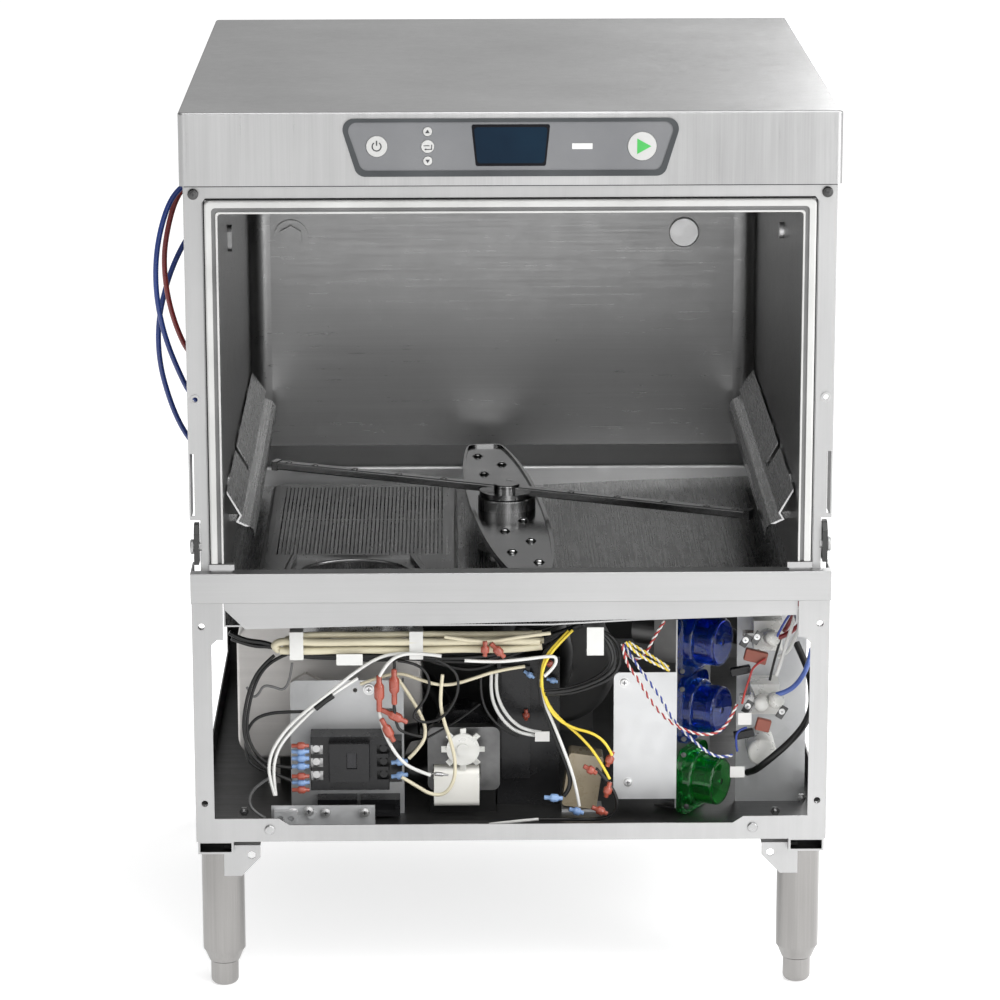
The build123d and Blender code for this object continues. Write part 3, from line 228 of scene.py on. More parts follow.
# ---------------------------------------------------------------- materials
# steel: light and dark grey, roughness, grain, relief, cloud size, warmth
# plastic: light and dark colour, roughness, grain, relief, coat, gloss
M = {
    "hood": steel("hood_steel", 0.48, 0.34, 0.34, "z", 0.05, (5, 5, 2)),
    "sill": steel("sill_steel", 0.47, 0.39, 0.36, "x", 0.04),
    "frame": steel("frame_steel", 0.48, 0.39, 0.38, "z", 0.03),
    # painted shade: a darker copy of the frame steel for faces inside the cabinet where shade falls
    "painted_shade_steel": steel("shaded_steel", 0.20, 0.13, 0.45, "x", 0.03),
    # painted shade: a near-black copy of the steel for the most deeply shaded faces
    "painted_deep_shade_steel": steel("deep_shaded_steel", 0.045, 0.025, 0.5, "x", 0.04),
    "chamber": steel("chamber_steel", 0.33, 0.27, 0.32, "x", 0.0, (2, 2, 4)),
    # painted highlight: a much lighter copy of the tub steel for the lit ledge at the back of the tub
    "painted_highlight_ledge": steel("ledge_steel", 0.92, 0.80, 0.42, "x", 0.02),
    # painted shade: the tub steel is kept darker than the chamber steel, standing in for the dark walls
    # that the floor mirrors
    "tub": steel("tub_steel_painted_shade", 0.26, 0.19, 0.26, "y", 0.03, (6, 6, 6)),
    "rail": steel("rail_steel", 0.58, 0.44, 0.26, "y", 0.02),
    "strainer": steel("strainer_steel", 0.36, 0.27, 0.30, "y", 0.02),
    # painted highlight: a near-white copy of the strainer steel for the basket's rolled rim
    "rim": steel("basket_rim_painted_highlight", 0.85, 0.7, 0.2, "none", 0.01),
    # painted highlight: near-white steel for the nozzle domes, much lighter than the arm steel they sit on
    "dome": steel("nozzle_dome_painted_highlight", 0.95, 0.85, 0.12, "none", 0.01),
    "arm": steel("arm_steel", 0.40, 0.27, 0.16, "x", 0.02),
    "manifold": steel("manifold_steel", 0.34, 0.24, 0.28, "z", 0.03),
    "leg": steel("leg_steel", 0.33, 0.22, 0.19, "z", 0.08, (9, 9, 4), 0.025),
    # painted light: the tank steel is lighter than the other steel, standing in for light that the shaded
    # tank does not get
    "tank": steel("tank_steel", 0.70, 0.48, 0.50, "x", 0.04, (9, 9, 9), 0.03),
    "zinc": steel("zinc", 0.52, 0.34, 0.26, "none", 0.02, (30, 30, 30)),
    "screw": steel("screw_steel", 0.86, 0.68, 0.42, "none", 0.02, (30, 30, 30)),
    # painted highlight: near-white steel for a chamber plug
    "bright": steel("plug_painted_highlight", 0.9, 0.78, 0.4, "none", 0.05, (30, 30, 30)),
    "iron": steel("dark_fastener", 0.12, 0.05, 0.35, "none", 0.02, (40, 40, 40)),
    "lamination": steel("laminations", 0.20, 0.12, 0.45, "none", 0.02, (60, 60, 60)),
    "galvanised": galvanised("galvanised", 0.66, 0.54),
    "plate": galvanised("mounting_plate", 0.56, 0.34),
    "hinge": plastic("hinge_black", (0.03, 0.03, 0.03), (0.012, 0.012, 0.012), 0.4),
    "bezel": plastic("bezel", (0.055, 0.06, 0.063), (0.038, 0.041, 0.044), 0.5, 400, 0.1, 0.0, 0.3),
    "overlay": plastic("overlay", (0.178, 0.181, 0.187),
                       (0.155, 0.158, 0.165), 0.55, 700, 0.04, 0.0, 0.25),
    "display": plastic("display", (0.004, 0.017, 0.034), (0.003, 0.011, 0.024), 0.4, 40, 0.0, 0.0, 0.1),
    "border": plastic("display_border", (0.008, 0.008, 0.010),
                      (0.004, 0.004, 0.006), 0.5, 400, 0.1, 0.0, 0.1),
    "button": plastic("button_face", (0.50, 0.50, 0.49), (0.44, 0.44, 0.43), 0.5),
    "print": plastic("dark_print", (0.04, 0.04, 0.045), (0.02, 0.02, 0.02), 0.5),
    "light_print": plastic("light_print", (0.70, 0.70, 0.69), (0.62, 0.62, 0.61), 0.5),
    "green_print": plastic("green_print", (0.06, 0.42, 0.09), (0.04, 0.34, 0.06), 0.45),
    "silicone": plastic("silicone", (0.56, 0.56, 0.55), (0.46, 0.46, 0.45), 0.5, 200, 0.1, 0.1),
    # painted shade: a darker copy of the silicone for the groove on the gasket's front
    "painted_shade_silicone": plastic("silicone_painted_groove_shade", (0.20, 0.20, 0.20), (0.14, 0.14, 0.14), 0.55),
    "black": plastic("black_plastic", (0.011, 0.011, 0.012),
                     (0.005, 0.005, 0.006), 0.24, 300, 0.06, 0.0, 0.35),
    "charcoal": plastic("charcoal_plastic", (0.022, 0.022, 0.025),
                        (0.012, 0.012, 0.014), 0.3, 300, 0.06, 0.0, 0.35),
    "rubber": plastic("black_rubber", (0.012, 0.012, 0.012),
                      (0.005, 0.005, 0.005), 0.34, 700, 0.06, 0.0, 0.4),
    "grey_wire": plastic("grey_insulation", (0.16, 0.16, 0.16), (0.10, 0.10, 0.10), 0.42),
    "white": plastic("white_plastic", (0.72, 0.72, 0.70), (0.60, 0.60, 0.58), 0.42),
    "cream": plastic("cream_insulation", (0.68, 0.63, 0.47), (0.56, 0.51, 0.37), 0.42),
    "yellow": plastic("yellow_insulation", (0.80, 0.62, 0.06), (0.66, 0.48, 0.03), 0.4),
    "red_wire": plastic("red_insulation", (0.42, 0.04, 0.03), (0.30, 0.02, 0.02), 0.4),
    "blue_wire": plastic("blue_insulation", (0.03, 0.06, 0.34), (0.02, 0.04, 0.22), 0.4),
    "red_crimp": plastic("red_terminal", (0.40, 0.085, 0.05), (0.27, 0.05, 0.03), 0.28, 200, 0.05, 0.4),
    "blue_crimp": plastic("blue_terminal", (0.24, 0.38, 0.62),
                          (0.14, 0.24, 0.46), 0.25, 200, 0.05, 0.4),
    "beige": plastic("beige_plastic", (0.44, 0.37, 0.26), (0.30, 0.25, 0.17), 0.28, 300, 0.06, 0.4),
    "board": plastic("circuit_board", (0.03, 0.20, 0.09), (0.02, 0.13, 0.06), 0.4),
    "blue_tube": plastic("blue_tube", (0.012, 0.045, 0.24), (0.006, 0.02, 0.13), 0.3, 300, 0.05, 0.3),
    "red_tube": plastic("red_tube", (0.24, 0.02, 0.02), (0.15, 0.01, 0.01), 0.3, 300, 0.05, 0.3),
    "pale_blue": plastic("pale_blue_tube", (0.10, 0.17, 0.50), (0.06, 0.11, 0.38), 0.3, 300, 0.05, 0.3),
    "rotor": plastic("rotor_dark", (0.03, 0.03, 0.035), (0.015, 0.015, 0.02), 0.4),
    "paint": steel("pump_casing", 0.17, 0.10, 0.5, "none", 0.02, (12, 12, 12)),
    "clear_blue": clear("clear_blue", (0.03, 0.20, 0.98), (0.015, 0.11, 0.82), 0.04, 0.96),
    "clear_green": clear("clear_green", (0.05, 0.88, 0.16), (0.025, 0.66, 0.10), 0.04, 0.96),
    "terminal_red": plastic("terminal_red", (0.30, 0.08, 0.05), (0.20, 0.05, 0.03), 0.4),
    "frosted": clear("frosted_plastic", (0.88, 0.88, 0.85), (0.76, 0.76, 0.72), 0.3, 0.25),
    "coil": plastic("coil_wrap", (0.86, 0.85, 0.80), (0.76, 0.75, 0.70), 0.4),
}

NODE_MATERIALS = {
    "hood": "hood", "control_bezel": "bezel", "control_overlay": "overlay", "display_window": "border",
    "control_board": "board", "power_button": "button", "up_button": "button", "enter_button": "button",
    "down_button": "button", "start_button": "button", "front_post_left": "frame",
    "front_post_right": "frame", "top_rails": "frame", "sill_bar": "sill", "door_hinge_left": "hinge",
    "door_hinge_right": "hinge", "base_pan": "frame", "back_panel": "frame", "chamber_shell": "chamber",
    "tub_floor": "tub", "sump_well": "tub", "door_gasket": "silicone", "rack_rail_left": "rail",
    "rack_rail_right": "rail", "chamber_plugs": "chamber", "strainer_pan": "strainer",
    "strainer_basket": "strainer", "lower_manifold": "manifold", "lower_wash_arm": "arm",
    "lower_rinse_arm": "arm", "upper_manifold": "manifold", "upper_wash_arm": "arm",
    "upper_rinse_arm": "arm", "leg_mounts": "frame", "leg_tubes": "leg", "foot_front_left": "leg",
    "foot_front_right": "leg", "foot_rear_left": "leg", "foot_rear_right": "leg",
    "booster_tank": "tank", "wash_pump": "paint", "wash_pump_impeller": "rotor",
    "drain_motor": "lamination", "drain_motor_fan": "frosted", "contactor_plate": "plate",
    "contactor_body": "black", "contactor_armature": "charcoal", "relay_block": "black",
    "pump_bracket": "galvanised", "pump_housings": "clear_blue", "detergent_rotor": "rotor",
    "rinse_aid_rotor": "rotor", "delimer_rotor": "rotor", "solenoid_valves": "plate",
    "hoses": "rubber", "harness_leads": "cream", "fasteners": "zinc", "blue_tube_front": "blue_tube",
    "red_tube": "red_tube", "blue_tube_rear": "blue_tube",
}
for node, material in NODE_MATERIALS.items():
    nodes[node].data.materials.clear()
    nodes[node].data.materials.append(M[material])


def paint(node, material, low, high, facing=None):
    """Give a CAD node's polygons inside a box, in mm, another material."""
    mesh = nodes[node].data
    names = [slot.name for slot in mesh.materials]
    if M[material].name not in names:
        mesh.materials.append(M[material])
        names.append(M[material].name)
    index = names.index(M[material].name)
    low, high = mm(*low), mm(*high)
    for polygon in mesh.polygons:
        inside = all(a <= c <= b for a, c, b in zip(low, polygon.center, high))
        if inside and (facing is None or polygon.normal.dot(Vector(facing)) > 0.5):
            polygon.material_index = index


FAR = 400                   # past the cabinet on every side
BEHIND_FRONT = -303.4       # inside faces of the front sheets
# node, material, box around the middles of its polygons, and the way those polygons face
PAINTED = [
    # painted shade on the inside of the base pan
    ("base_pan", "painted_shade_steel", (-FAR, BEHIND_FRONT, 140), (FAR, FAR, 200), None),
    # painted deep shade on the inside of the back panel
    ("back_panel", "painted_deep_shade_steel", (-FAR, 250, 150), (FAR, 305.4, 800), FRONTWARD),
    ("back_panel", "painted_deep_shade_steel", (-300.5, 250, 150), (300.5, 305, 800), RIGHTWARD),
    ("back_panel", "painted_deep_shade_steel", (-300.5, 250, 150), (300.5, 305, 800), LEFTWARD),
    # painted shade on the inner faces of the front posts
    ("front_post_left", "painted_shade_steel", (-FAR, BEHIND_FRONT, 150), (-299, -200, FAR), RIGHTWARD),
    ("front_post_right", "painted_shade_steel", (299, BEHIND_FRONT, 150), (FAR, -200, FAR), LEFTWARD),
    # painted highlight on the ledge at the back of the tub and on its front face
    ("tub_floor", "painted_highlight_ledge", (-FAR, 240, 385), (FAR, FAR, 410), None),
    ("tub_floor", "painted_highlight_ledge", (-FAR, 243, 371), (FAR, 245, 396), FRONTWARD),
    ("tub_floor", "sill", (-FAR, -301, 300), (FAR, -299.5, 420), FRONTWARD),
    # painted deep shade on the underside of the tub
    ("tub_floor", "painted_deep_shade_steel", (-FAR, -299.2, 300), (FAR, 240, 380), DOWNWARD),
    # painted highlight along the strainer basket's rim
    ("strainer_basket", "rim", (-FAR, -FAR, 371.5), (FAR, FAR, 382), None),
    ("lower_wash_arm", "manifold", (-30, -60, 416.5), (30, 0, 429), None),
    # painted shade in the groove on the front of the door gasket
    ("door_gasket", "painted_shade_silicone", (-275.5, -308.6, 430), (275.5, -308.4, 775), FRONTWARD),
    # painted highlights: the chamber plugs take lighter copies of the steel than the chamber, the
    # brightest at the back and on the right
    ("chamber_plugs", "bright", (150, 200, 600), (230, 300, 680), None),
    ("chamber_plugs", "painted_highlight_ledge", (240, -100, 690), (280, -60, 730), None),
    ("chamber_plugs", "rail", (-280, -100, 690), (-240, -60, 730), None),
    # painted deep shade on the leg mounts behind the front sheet
    ("leg_mounts", "painted_deep_shade_steel", (-298.5, -302.9, 140), (-267.5, -230, 155), None),
    ("leg_mounts", "painted_deep_shade_steel", (267.5, -302.9, 140), (298.5, -230, 155), None),
    ("drain_motor", "coil", (-75, -247, 168), (-29, -213, 211), None),
    ("drain_motor", "black", (-110, -206, 190), (FAR, -160, 260), None),
    # painted deep shade on the drain motor's bracket behind the core
    ("drain_motor", "painted_deep_shade_steel", (-80, -222.1, 150), (-10, -199, 215), None),
    ("drain_motor", "lamination", (-81, -236.5, 183), (-9, -235.5, 249), FRONTWARD),
    ("contactor_body", "zinc", (-192, -251, 198), (-183, -243, 238), None),
    ("relay_block", "galvanised", (-232, -277, 150), (-130, -249, 180), None),
    ("relay_block", "beige", (50, -227, 161), (96, -199.5, 219), None),
    ("relay_block", "galvanised", (50, -227, 150), (92, -199, 160.5), None),
    # painted shade on the back of the pump bracket
    ("pump_bracket", "painted_shade_steel", (0, -243.6, 150), (FAR, -100, 400), None),
    ("pump_housings", "clear_green", (100, -400, 150), (300, 0, 229), None),
    ("solenoid_valves", "frosted", (225, -245, 255), (275, -195.5, 352), None),
    ("solenoid_valves", "zinc", (222, -230, 255), (236, -214, 352), None),
    ("solenoid_valves", "frosted", (228, -240, 200), (262, -195.5, 240), None),
    ("fasteners", "white", (-215, -285, 320), (-75, -260, 360), None),
    ("fasteners", "white", (60, -302, 335), (100, -280, 368), None),
    ("fasteners", "iron", (-300, -312, 775), (-284, -306, 792), None),
    ("fasteners", "iron", (284, -312, 775), (300, -306, 792), None),
]
for row in PAINTED:
    paint(*row)


# ---------------------------------------------------------------- piece helpers
def piece(name, mesh, material, body=CABINET):
    """A mesh as a named piece that rides on a body."""
    mesh.materials.append(M[material])
    made = bpy.data.objects.new(name, mesh)
    scene.collection.objects.link(made)
    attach(made, body)
    return made


def to_mesh(name, form, smooth=False):
    """A bmesh written out as a mesh."""
    bmesh.ops.recalc_face_normals(form, faces=form.faces)
    mesh = bpy.data.meshes.new(name)
    form.to_mesh(mesh)
    form.free()
    if smooth:
        mesh.polygons.foreach_set("use_smooth", [True] * len(mesh.polygons))
    return mesh


def add_slab(form, low, high, edge=0.0, turn=None):
    """A box between two corners in mm, with its edges rounded, in a bmesh."""
    low, high = mm(*low), mm(*high)
    made = bmesh.ops.create_cube(form, size=1.0)["verts"]
    bmesh.ops.scale(form, vec=high - low, verts=made)
    bmesh.ops.translate(form, vec=(low + high) / 2, verts=made)
    if edge:
        edges = list({e for v in made for e in v.link_edges})
        bevelled = bmesh.ops.bevel(form, geom=edges, offset=edge / 1000, segments=3, affect="EDGES",
                                   profile=0.5)
        made = list({v for f in bevelled["faces"] for v in f.verts} | {v for v in made if v.is_valid})
    if turn is not None:
        bmesh.ops.rotate(form, cent=(low + high) / 2, matrix=turn, verts=made)


def add_lathe(form, profile, start, axis, around=24):
    """A profile of (radius, height) in mm turned about an axis from a start point, in a bmesh."""
    turn = Vector(axis).to_track_quat("Z", "Y").to_matrix()
    rings = []
    for radius, height in profile:
        ring = []
        for step in range(around):
            angle = 2 * math.pi * step / around
            local = mm(radius * math.cos(angle), radius * math.sin(angle), height)
            ring.append(form.verts.new(mm(*start) + turn @ local))
        rings.append(ring)
    for below, above in zip(rings, rings[1:]):
        for step in range(around):
            after = (step + 1) % around
            form.faces.new((below[step], below[after], above[after], above[step]))
    form.faces.new(rings[0][::-1])
    form.faces.new(rings[-1])


def add_plate(form, outline, front, back):
    """An outline of (x, z) in mm extruded along Y, in a bmesh."""
    near = [form.verts.new(mm(x, front, z)) for x, z in outline]
    far = [form.verts.new(mm(x, back, z)) for x, z in outline]
    form.faces.new(near)
    form.faces.new(far[::-1])
    for step in range(len(outline)):
        after = (step + 1) % len(outline)
        form.faces.new((near[step], far[step], far[after], near[after]))


def screws(name, spots, radius, material="screw"):
    """Pan-head screws that face the front, with a cross recess, at points in mm, as two pieces."""
    heads, marks = bmesh.new(), bmesh.new()
    thick = 0.45 * radius
    profile = [(radius * 1.25, 0), (radius * 1.25, 0.3), (radius, 0.31), (radius, thick * 0.4),
               (radius * 0.86, thick * 0.8), (radius * 0.5, thick)]
    turn = Vector(FRONTWARD).to_track_quat("Z", "Y").to_matrix()
    for spot in spots:
        add_lathe(heads, profile, spot, FRONTWARD, 20)
        for long, wide in ((radius * 1.0, radius * 0.2), (radius * 0.2, radius * 1.0)):
            before = set(marks.verts)
            add_slab(marks, (-long / 2, -wide / 2, thick * 0.7), (long / 2, wide / 2, thick + 0.08))
            for vertex in marks.verts:
                if vertex not in before:
                    vertex.co = mm(*spot) + turn @ vertex.co
    piece(name, to_mesh(name, heads), material)
    piece(name + "_recess", to_mesh(name + "_recess", marks), "print")


def flat(depth, *points):
    """Points of (x, z) at one depth, all in mm, as (x, y, z)."""
    return [(x, depth, z) for x, z in points]


def curve_object(name, points, radius, resolution=6):
    """A round NURBS line through control points in mm, not yet given a body."""
    data = bpy.data.curves.new(name, "CURVE")
    data.dimensions = "3D"
    spline = data.splines.new("NURBS")
    spline.points.add(len(points) - 1)
    for point, place_at in zip(spline.points, points):
        point.co = (*mm(*place_at), 1)
    spline.order_u = 3
    spline.use_endpoint_u = True
    spline.resolution_u = resolution
    data.bevel_depth = radius / 1000
    data.bevel_resolution = 3
    data.use_fill_caps = True
    made = bpy.data.objects.new(name, data)
    scene.collection.objects.link(made)
    return made


def lead(name, points, radius, material):
    """One insulated lead of the harness."""
    made = curve_object(name, points, radius)
    made.data.materials.append(M[material])
    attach(made, CABINET)
    return made


def smooth_route(points):
    """Points read along a route's NURBS line, in metres."""
    guide = curve_object("route_guide", points, 0)
    guide.data.bevel_depth = 0
    guide.data.use_fill_caps = False
    mesh = bpy.data.meshes.new_from_object(guide)
    line = [vertex.co.copy() for vertex in mesh.vertices]
    bpy.data.objects.remove(guide)
    bpy.data.meshes.remove(mesh)
    return line


PAIR_RADIUS, PAIR_PITCH, PAIR_STEP = 0.85, 9.0, 1.2     # a twisted pair, in mm


def twisted_pair(name, points, first, second):
    """Two thin leads wound round each other along a route."""
    line = smooth_route(points)
    lengths = [0.0]
    for before, here in zip(line, line[1:]):
        lengths.append(lengths[-1] + (here - before).length)
    steps = max(12, int(lengths[-1] * 1000 / PAIR_STEP))
    strands = {0: [], 1: []}
    index = 0
    for step in range(steps + 1):
        along = lengths[-1] * step / steps
        while index < len(lengths) - 2 and lengths[index + 1] < along:
            index += 1
        part = (along - lengths[index]) / max(lengths[index + 1] - lengths[index], 1e-9)
        spot = line[index].lerp(line[index + 1], part)
        ahead = (line[index + 1] - line[index]).normalized()
        side = ahead.cross(Vector(BACKWARD)).normalized()
        rise = ahead.cross(side)
        turn = 2 * math.pi * along * 1000 / PAIR_PITCH
        for strand in strands:
            angle = turn + math.pi * strand
            reach = side * math.cos(angle) + rise * math.sin(angle)
            strands[strand].append(tuple((spot + reach * PAIR_RADIUS / 1000) * 1000))
    for strand, material in zip(strands.values(), (first, second)):
        line = curve_object(name + "_line", strand, PAIR_RADIUS, 2)
        line.data.bevel_resolution = 2
        mesh = bpy.data.meshes.new_from_object(line)
        bpy.data.objects.remove(line)
        piece(name + "_" + material, mesh, material)


# ---------------------------------------------------------------- outside tubes
make_camera()
SIDE_TUBES = {
    "blue_tube_front": [
        (-286, -226, 786), (-302, -227, 782), (-317, -229, 768), (-327, -232, 742),
        (-333, -235, 710), (-333, -237, 674), (-326, -236, 636), (-314, -233, 602),
        (-302, -229, 575), (-286, -226, 560)],
    "red_tube": [
        (-286, -206, 786), (-301, -207, 780), (-314, -209, 764), (-322, -211, 738),
        (-327, -212, 708), (-325, -212, 674), (-317, -210, 640), (-304, -208, 610),
        (-286, -206, 596)],
    "blue_tube_rear": [
        (-286, -186, 742), (-302, -188, 728), (-317, -191, 702), (-328, -195, 672),
        (-335, -198, 638), (-334, -199, 602), (-326, -197, 568), (-316, -193, 540),
        (-303, -188, 518), (-286, -186, 508)],
}
TUBE_RADIUS = 2.6
for name, points in SIDE_TUBES.items():
    tube = curve_object(name + "_line", points, TUBE_RADIUS, 8)
    tube.data.bevel_resolution = 5
    tube.data.materials.append(M[NODE_MATERIALS[name]])
    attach(tube, CABINET)
    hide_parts(name)


# ---------------------------------------------------------------- inside harness
# name: material, radius and route, in mm
LEADS = {
    "black_left_a": ("rubber", 1.7, flat(-262,
        (-226, 329), (-239, 318), (-250, 298), (-256, 272), (-257, 252), (-252, 233), (-240, 219),
        (-226, 209), (-211, 203))),
    "black_left_b": ("rubber", 1.7, flat(-258,
        (-214, 329), (-232, 322), (-246, 299), (-253, 270), (-254, 249), (-247, 231), (-233, 217),
        (-211, 215))),
    "black_left_c": ("rubber", 1.6, flat(-250,
        (-194, 269), (-216, 269), (-236, 267), (-249, 260), (-256, 244), (-255, 223), (-246, 212),
        (-230, 206))),
    "white_pair_a": ("white", 1.6, flat(-279,
        (-86, 335), (-106, 336), (-126, 332), (-149, 317), (-171, 298), (-192, 282), (-212, 264),
        (-226, 245), (-232, 229), (-232, 211), (-227, 194))),
    "white_pair_b": ("white", 1.6, flat(-276,
        (-146, 310), (-162, 300), (-184, 284), (-207, 261), (-221, 244), (-227, 228), (-228, 210),
        (-226, 193))),
    "grey_zigzag": ("grey_wire", 1.3, flat(-240,
        (-210, 315), (-212, 299), (-218, 287), (-228, 291), (-238, 293), (-243, 283), (-249, 280),
        (-254, 291))),
    "grey_cable": ("grey_wire", 1.5, flat(-270,
        (-233, 208), (-246, 200), (-253, 187), (-249, 175), (-237, 168))),
    "white_drop": ("white", 1.7, [
        (-66, -284, 334), (-86, -284, 337), (-106, -284, 336), (-119, -284, 326), (-125, -283, 314)]),
    "white_coil": ("white", 1.7, flat(-272,
        (-126, 277), (-124, 262), (-117, 244), (-107, 228), (-96, 218), (-77, 211))),
    "black_drop": ("rubber", 1.5, flat(-276,
        (-111, 329), (-111, 309), (-112, 283), (-110, 265), (-105, 255), (-84, 251))),
    "cream_cross": ("cream", 1.6, flat(-266,
        (-144, 301), (-121, 310), (-104, 312), (-89, 306), (-71, 300), (-55, 300), (-36, 306),
        (-13, 314), (14, 318))),
    "cream_dash": ("cream", 1.8, flat(-262,
        (-109, 307), (-99, 292), (-87, 271), (-81, 255), (-84, 239), (-98, 225))),
    "cream_long": ("cream", 1.8, flat(-268,
        (-65, 311), (-68, 288), (-65, 267), (-58, 246), (-53, 225), (-54, 204), (-63, 190), (-77, 190),
        (-92, 200), (-105, 208))),
    "black_loop": ("rubber", 1.4, flat(-272,
        (-108, 326), (-89, 324), (-76, 308), (-81, 287), (-96, 271), (-84, 263), (-65, 268), (-52, 287),
        (-49, 306), (-56, 320), (-71, 327))),
    "black_dotted": ("rubber", 1.1, flat(-250,
        (-29, 276), (-46, 262), (-64, 251), (-82, 241))),
    "white_arc_a": ("white", 1.7, flat(-240,
        (-18, 303), (-19, 287), (-15, 269), (-4, 252), (10, 242), (28, 240))),
    "white_arc_b": ("white", 1.7, flat(-238,
        (-13, 303), (-14, 287), (-9, 270), (1, 255), (15, 245), (30, 243))),
    "black_arc": ("rubber", 1.3, flat(-244,
        (-28, 302), (-29, 286), (-23, 265), (-8, 248), (8, 241))),
    "white_hook": ("white", 1.6, flat(-286,
        (-44, 330), (-16, 328), (14, 331), (36, 334), (44, 333), (42, 323), (32, 314))),
    "yellow_down": ("yellow", 1.4, flat(-284,
        (59, 359), (48, 348), (38, 336), (31, 323), (29, 308), (32, 291), (42, 272), (60, 261),
        (78, 257), (92, 246), (97, 234))),
    "yellow_low": ("yellow", 1.4, flat(-280,
        (31, 299), (34, 286), (46, 270), (67, 252), (84, 231), (95, 209))),
    "yellow_top": ("yellow", 1.3, flat(-282,
        (55, 358), (45, 347), (34, 334), (29, 320), (29, 302))),
    "white_low": ("white", 1.6, flat(-278,
        (29, 309), (31, 288), (41, 264), (52, 235), (62, 206), (66, 181))),
    "black_low": ("rubber", 2.2, flat(-274,
        (28, 300), (34, 271), (46, 241), (56, 216), (58, 198), (51, 190))),
    "cream_top": ("cream", 1.9, flat(-283,
        (-63, 353), (-25, 346), (4, 352), (38, 356))),
    "black_run_a": ("rubber", 2.3, flat(-262,
        (-269, 352), (-256, 344), (-232, 342), (-214, 331), (-192, 329), (-156, 328), (-121, 329),
        (-81, 326), (-46, 325), (-13, 329), (17, 338), (42, 349), (67, 358))),
    "black_run_b": ("rubber", 2.0, flat(-258,
        (-267, 345), (-249, 337), (-227, 337), (-207, 327), (-177, 325), (-141, 325), (-101, 325),
        (-64, 321), (-31, 320), (-1, 329), (27, 339), (52, 349), (70, 357))),
    "black_run_c": ("rubber", 1.8, flat(-254,
        (-81, 322), (-56, 313), (-31, 311), (-8, 322), (20, 333), (47, 344), (70, 355))),
    "black_run_d": ("rubber", 1.6, flat(-254,
        (-150, 322), (-110, 320), (-75, 330), (-30, 335), (15, 346), (60, 360))),
    "loop_a": ("rubber", 1.7, flat(-288,
        (79, 362), (90, 356), (99, 342), (100, 327), (91, 314), (72, 305), (52, 299), (34, 298))),
    "loop_b": ("rubber", 1.5, flat(-284,
        (78, 360), (86, 353), (94, 340), (96, 327), (87, 315), (70, 306), (51, 300), (32, 299))),
    "loop_c": ("rubber", 1.7, flat(-280,
        (80, 360), (93, 355), (104, 341), (105, 324), (95, 309), (74, 300), (54, 294), (33, 294))),
    "bundle_down": ("rubber", 2.6, flat(-276,
        (60, 358), (42, 346), (31, 332), (28, 314), (28, 298), (31, 282))),
    "black_under": ("rubber", 1.8, flat(-272,
        (82, 217), (96, 201), (104, 183), (100, 170), (84, 165), (55, 166), (27, 166))),
    "white_under": ("white", 1.5, flat(-272,
        (27, 166), (4, 164), (-21, 161))),
    "white_right_a": ("white", 1.7, flat(-262,
        (274, 375), (270, 356), (264, 338), (260, 320), (255, 306))),
    "white_right_b": ("white", 1.7, flat(-258,
        (276, 372), (278, 355), (272, 341), (267, 328), (257, 323))),
    "red_thin": ("red_wire", 1.1, flat(-258,
        (245, 322), (233, 315), (230, 303), (226, 291), (223, 277))),
    "blue_thin": ("blue_wire", 1.1, flat(-258,
        (228, 253), (219, 251), (217, 239), (219, 229))),
    "black_thin": ("rubber", 1.3, flat(-250,
        (250, 298), (252, 309), (256, 325), (261, 344))),
    "blue_right": ("pale_blue", 2.5, [
        (257, -248, 283), (268, -252, 287), (279, -252, 298), (287, -248, 312), (291, -238, 326)]),
    "red_right_a": ("red_tube", 2.4, [
        (256, -250, 340), (264, -252, 343), (274, -250, 350), (286, -244, 358), (292, -236, 366)]),
    "red_right_b": ("red_tube", 2.4, [
        (264, -240, 344), (270, -244, 356), (275, -246, 368), (278, -244, 382)]),
    "blue_wire_right": ("blue_wire", 1.2, [
        (256, -252, 342), (262, -254, 356), (270, -254, 368), (274, -252, 382)]),
}
# the folded bundle of cream leads, which stands for the CAD harness
CREAM_RUNS = {
    "bundle_upper_front": (3.7, [
        (28, -276, 346), (-20, -277, 347.2), (-75, -276, 345.6), (-130, -277, 346.6), (-180, -276, 345.5),
        (-206, -275, 346.8), (-221, -273, 346), (-227, -272, 341), (-221, -270, 336.6)]),
    "bundle_upper_back": (3.2, [
        (30, -270, 352), (-22, -269, 350.4), (-78, -270, 352), (-135, -269, 350.8), (-185, -270, 352),
        (-204, -269, 350), (-214, -267, 346)]),
    "bundle_lower_front": (3.7, [
        (-220, -272, 336.8), (-200, -273, 336), (-150, -272, 337.6), (-95, -273, 336.4), (-40, -272, 338),
        (0, -273, 336.5), (30, -272, 340)]),
    "bundle_lower_back": (3.0, [
        (-217, -265, 341), (-190, -266, 340), (-120, -265, 342), (-60, -266, 340.6), (-5, -265, 342.4),
        (32, -266, 344)]),
}
first_lead = None
for name, (radius, points) in CREAM_RUNS.items():
    made = lead(name, points, radius, "cream")
    first_lead = first_lead or made
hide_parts("harness_leads")
for name, (material, radius, points) in LEADS.items():
    lead(name, points, radius, material)

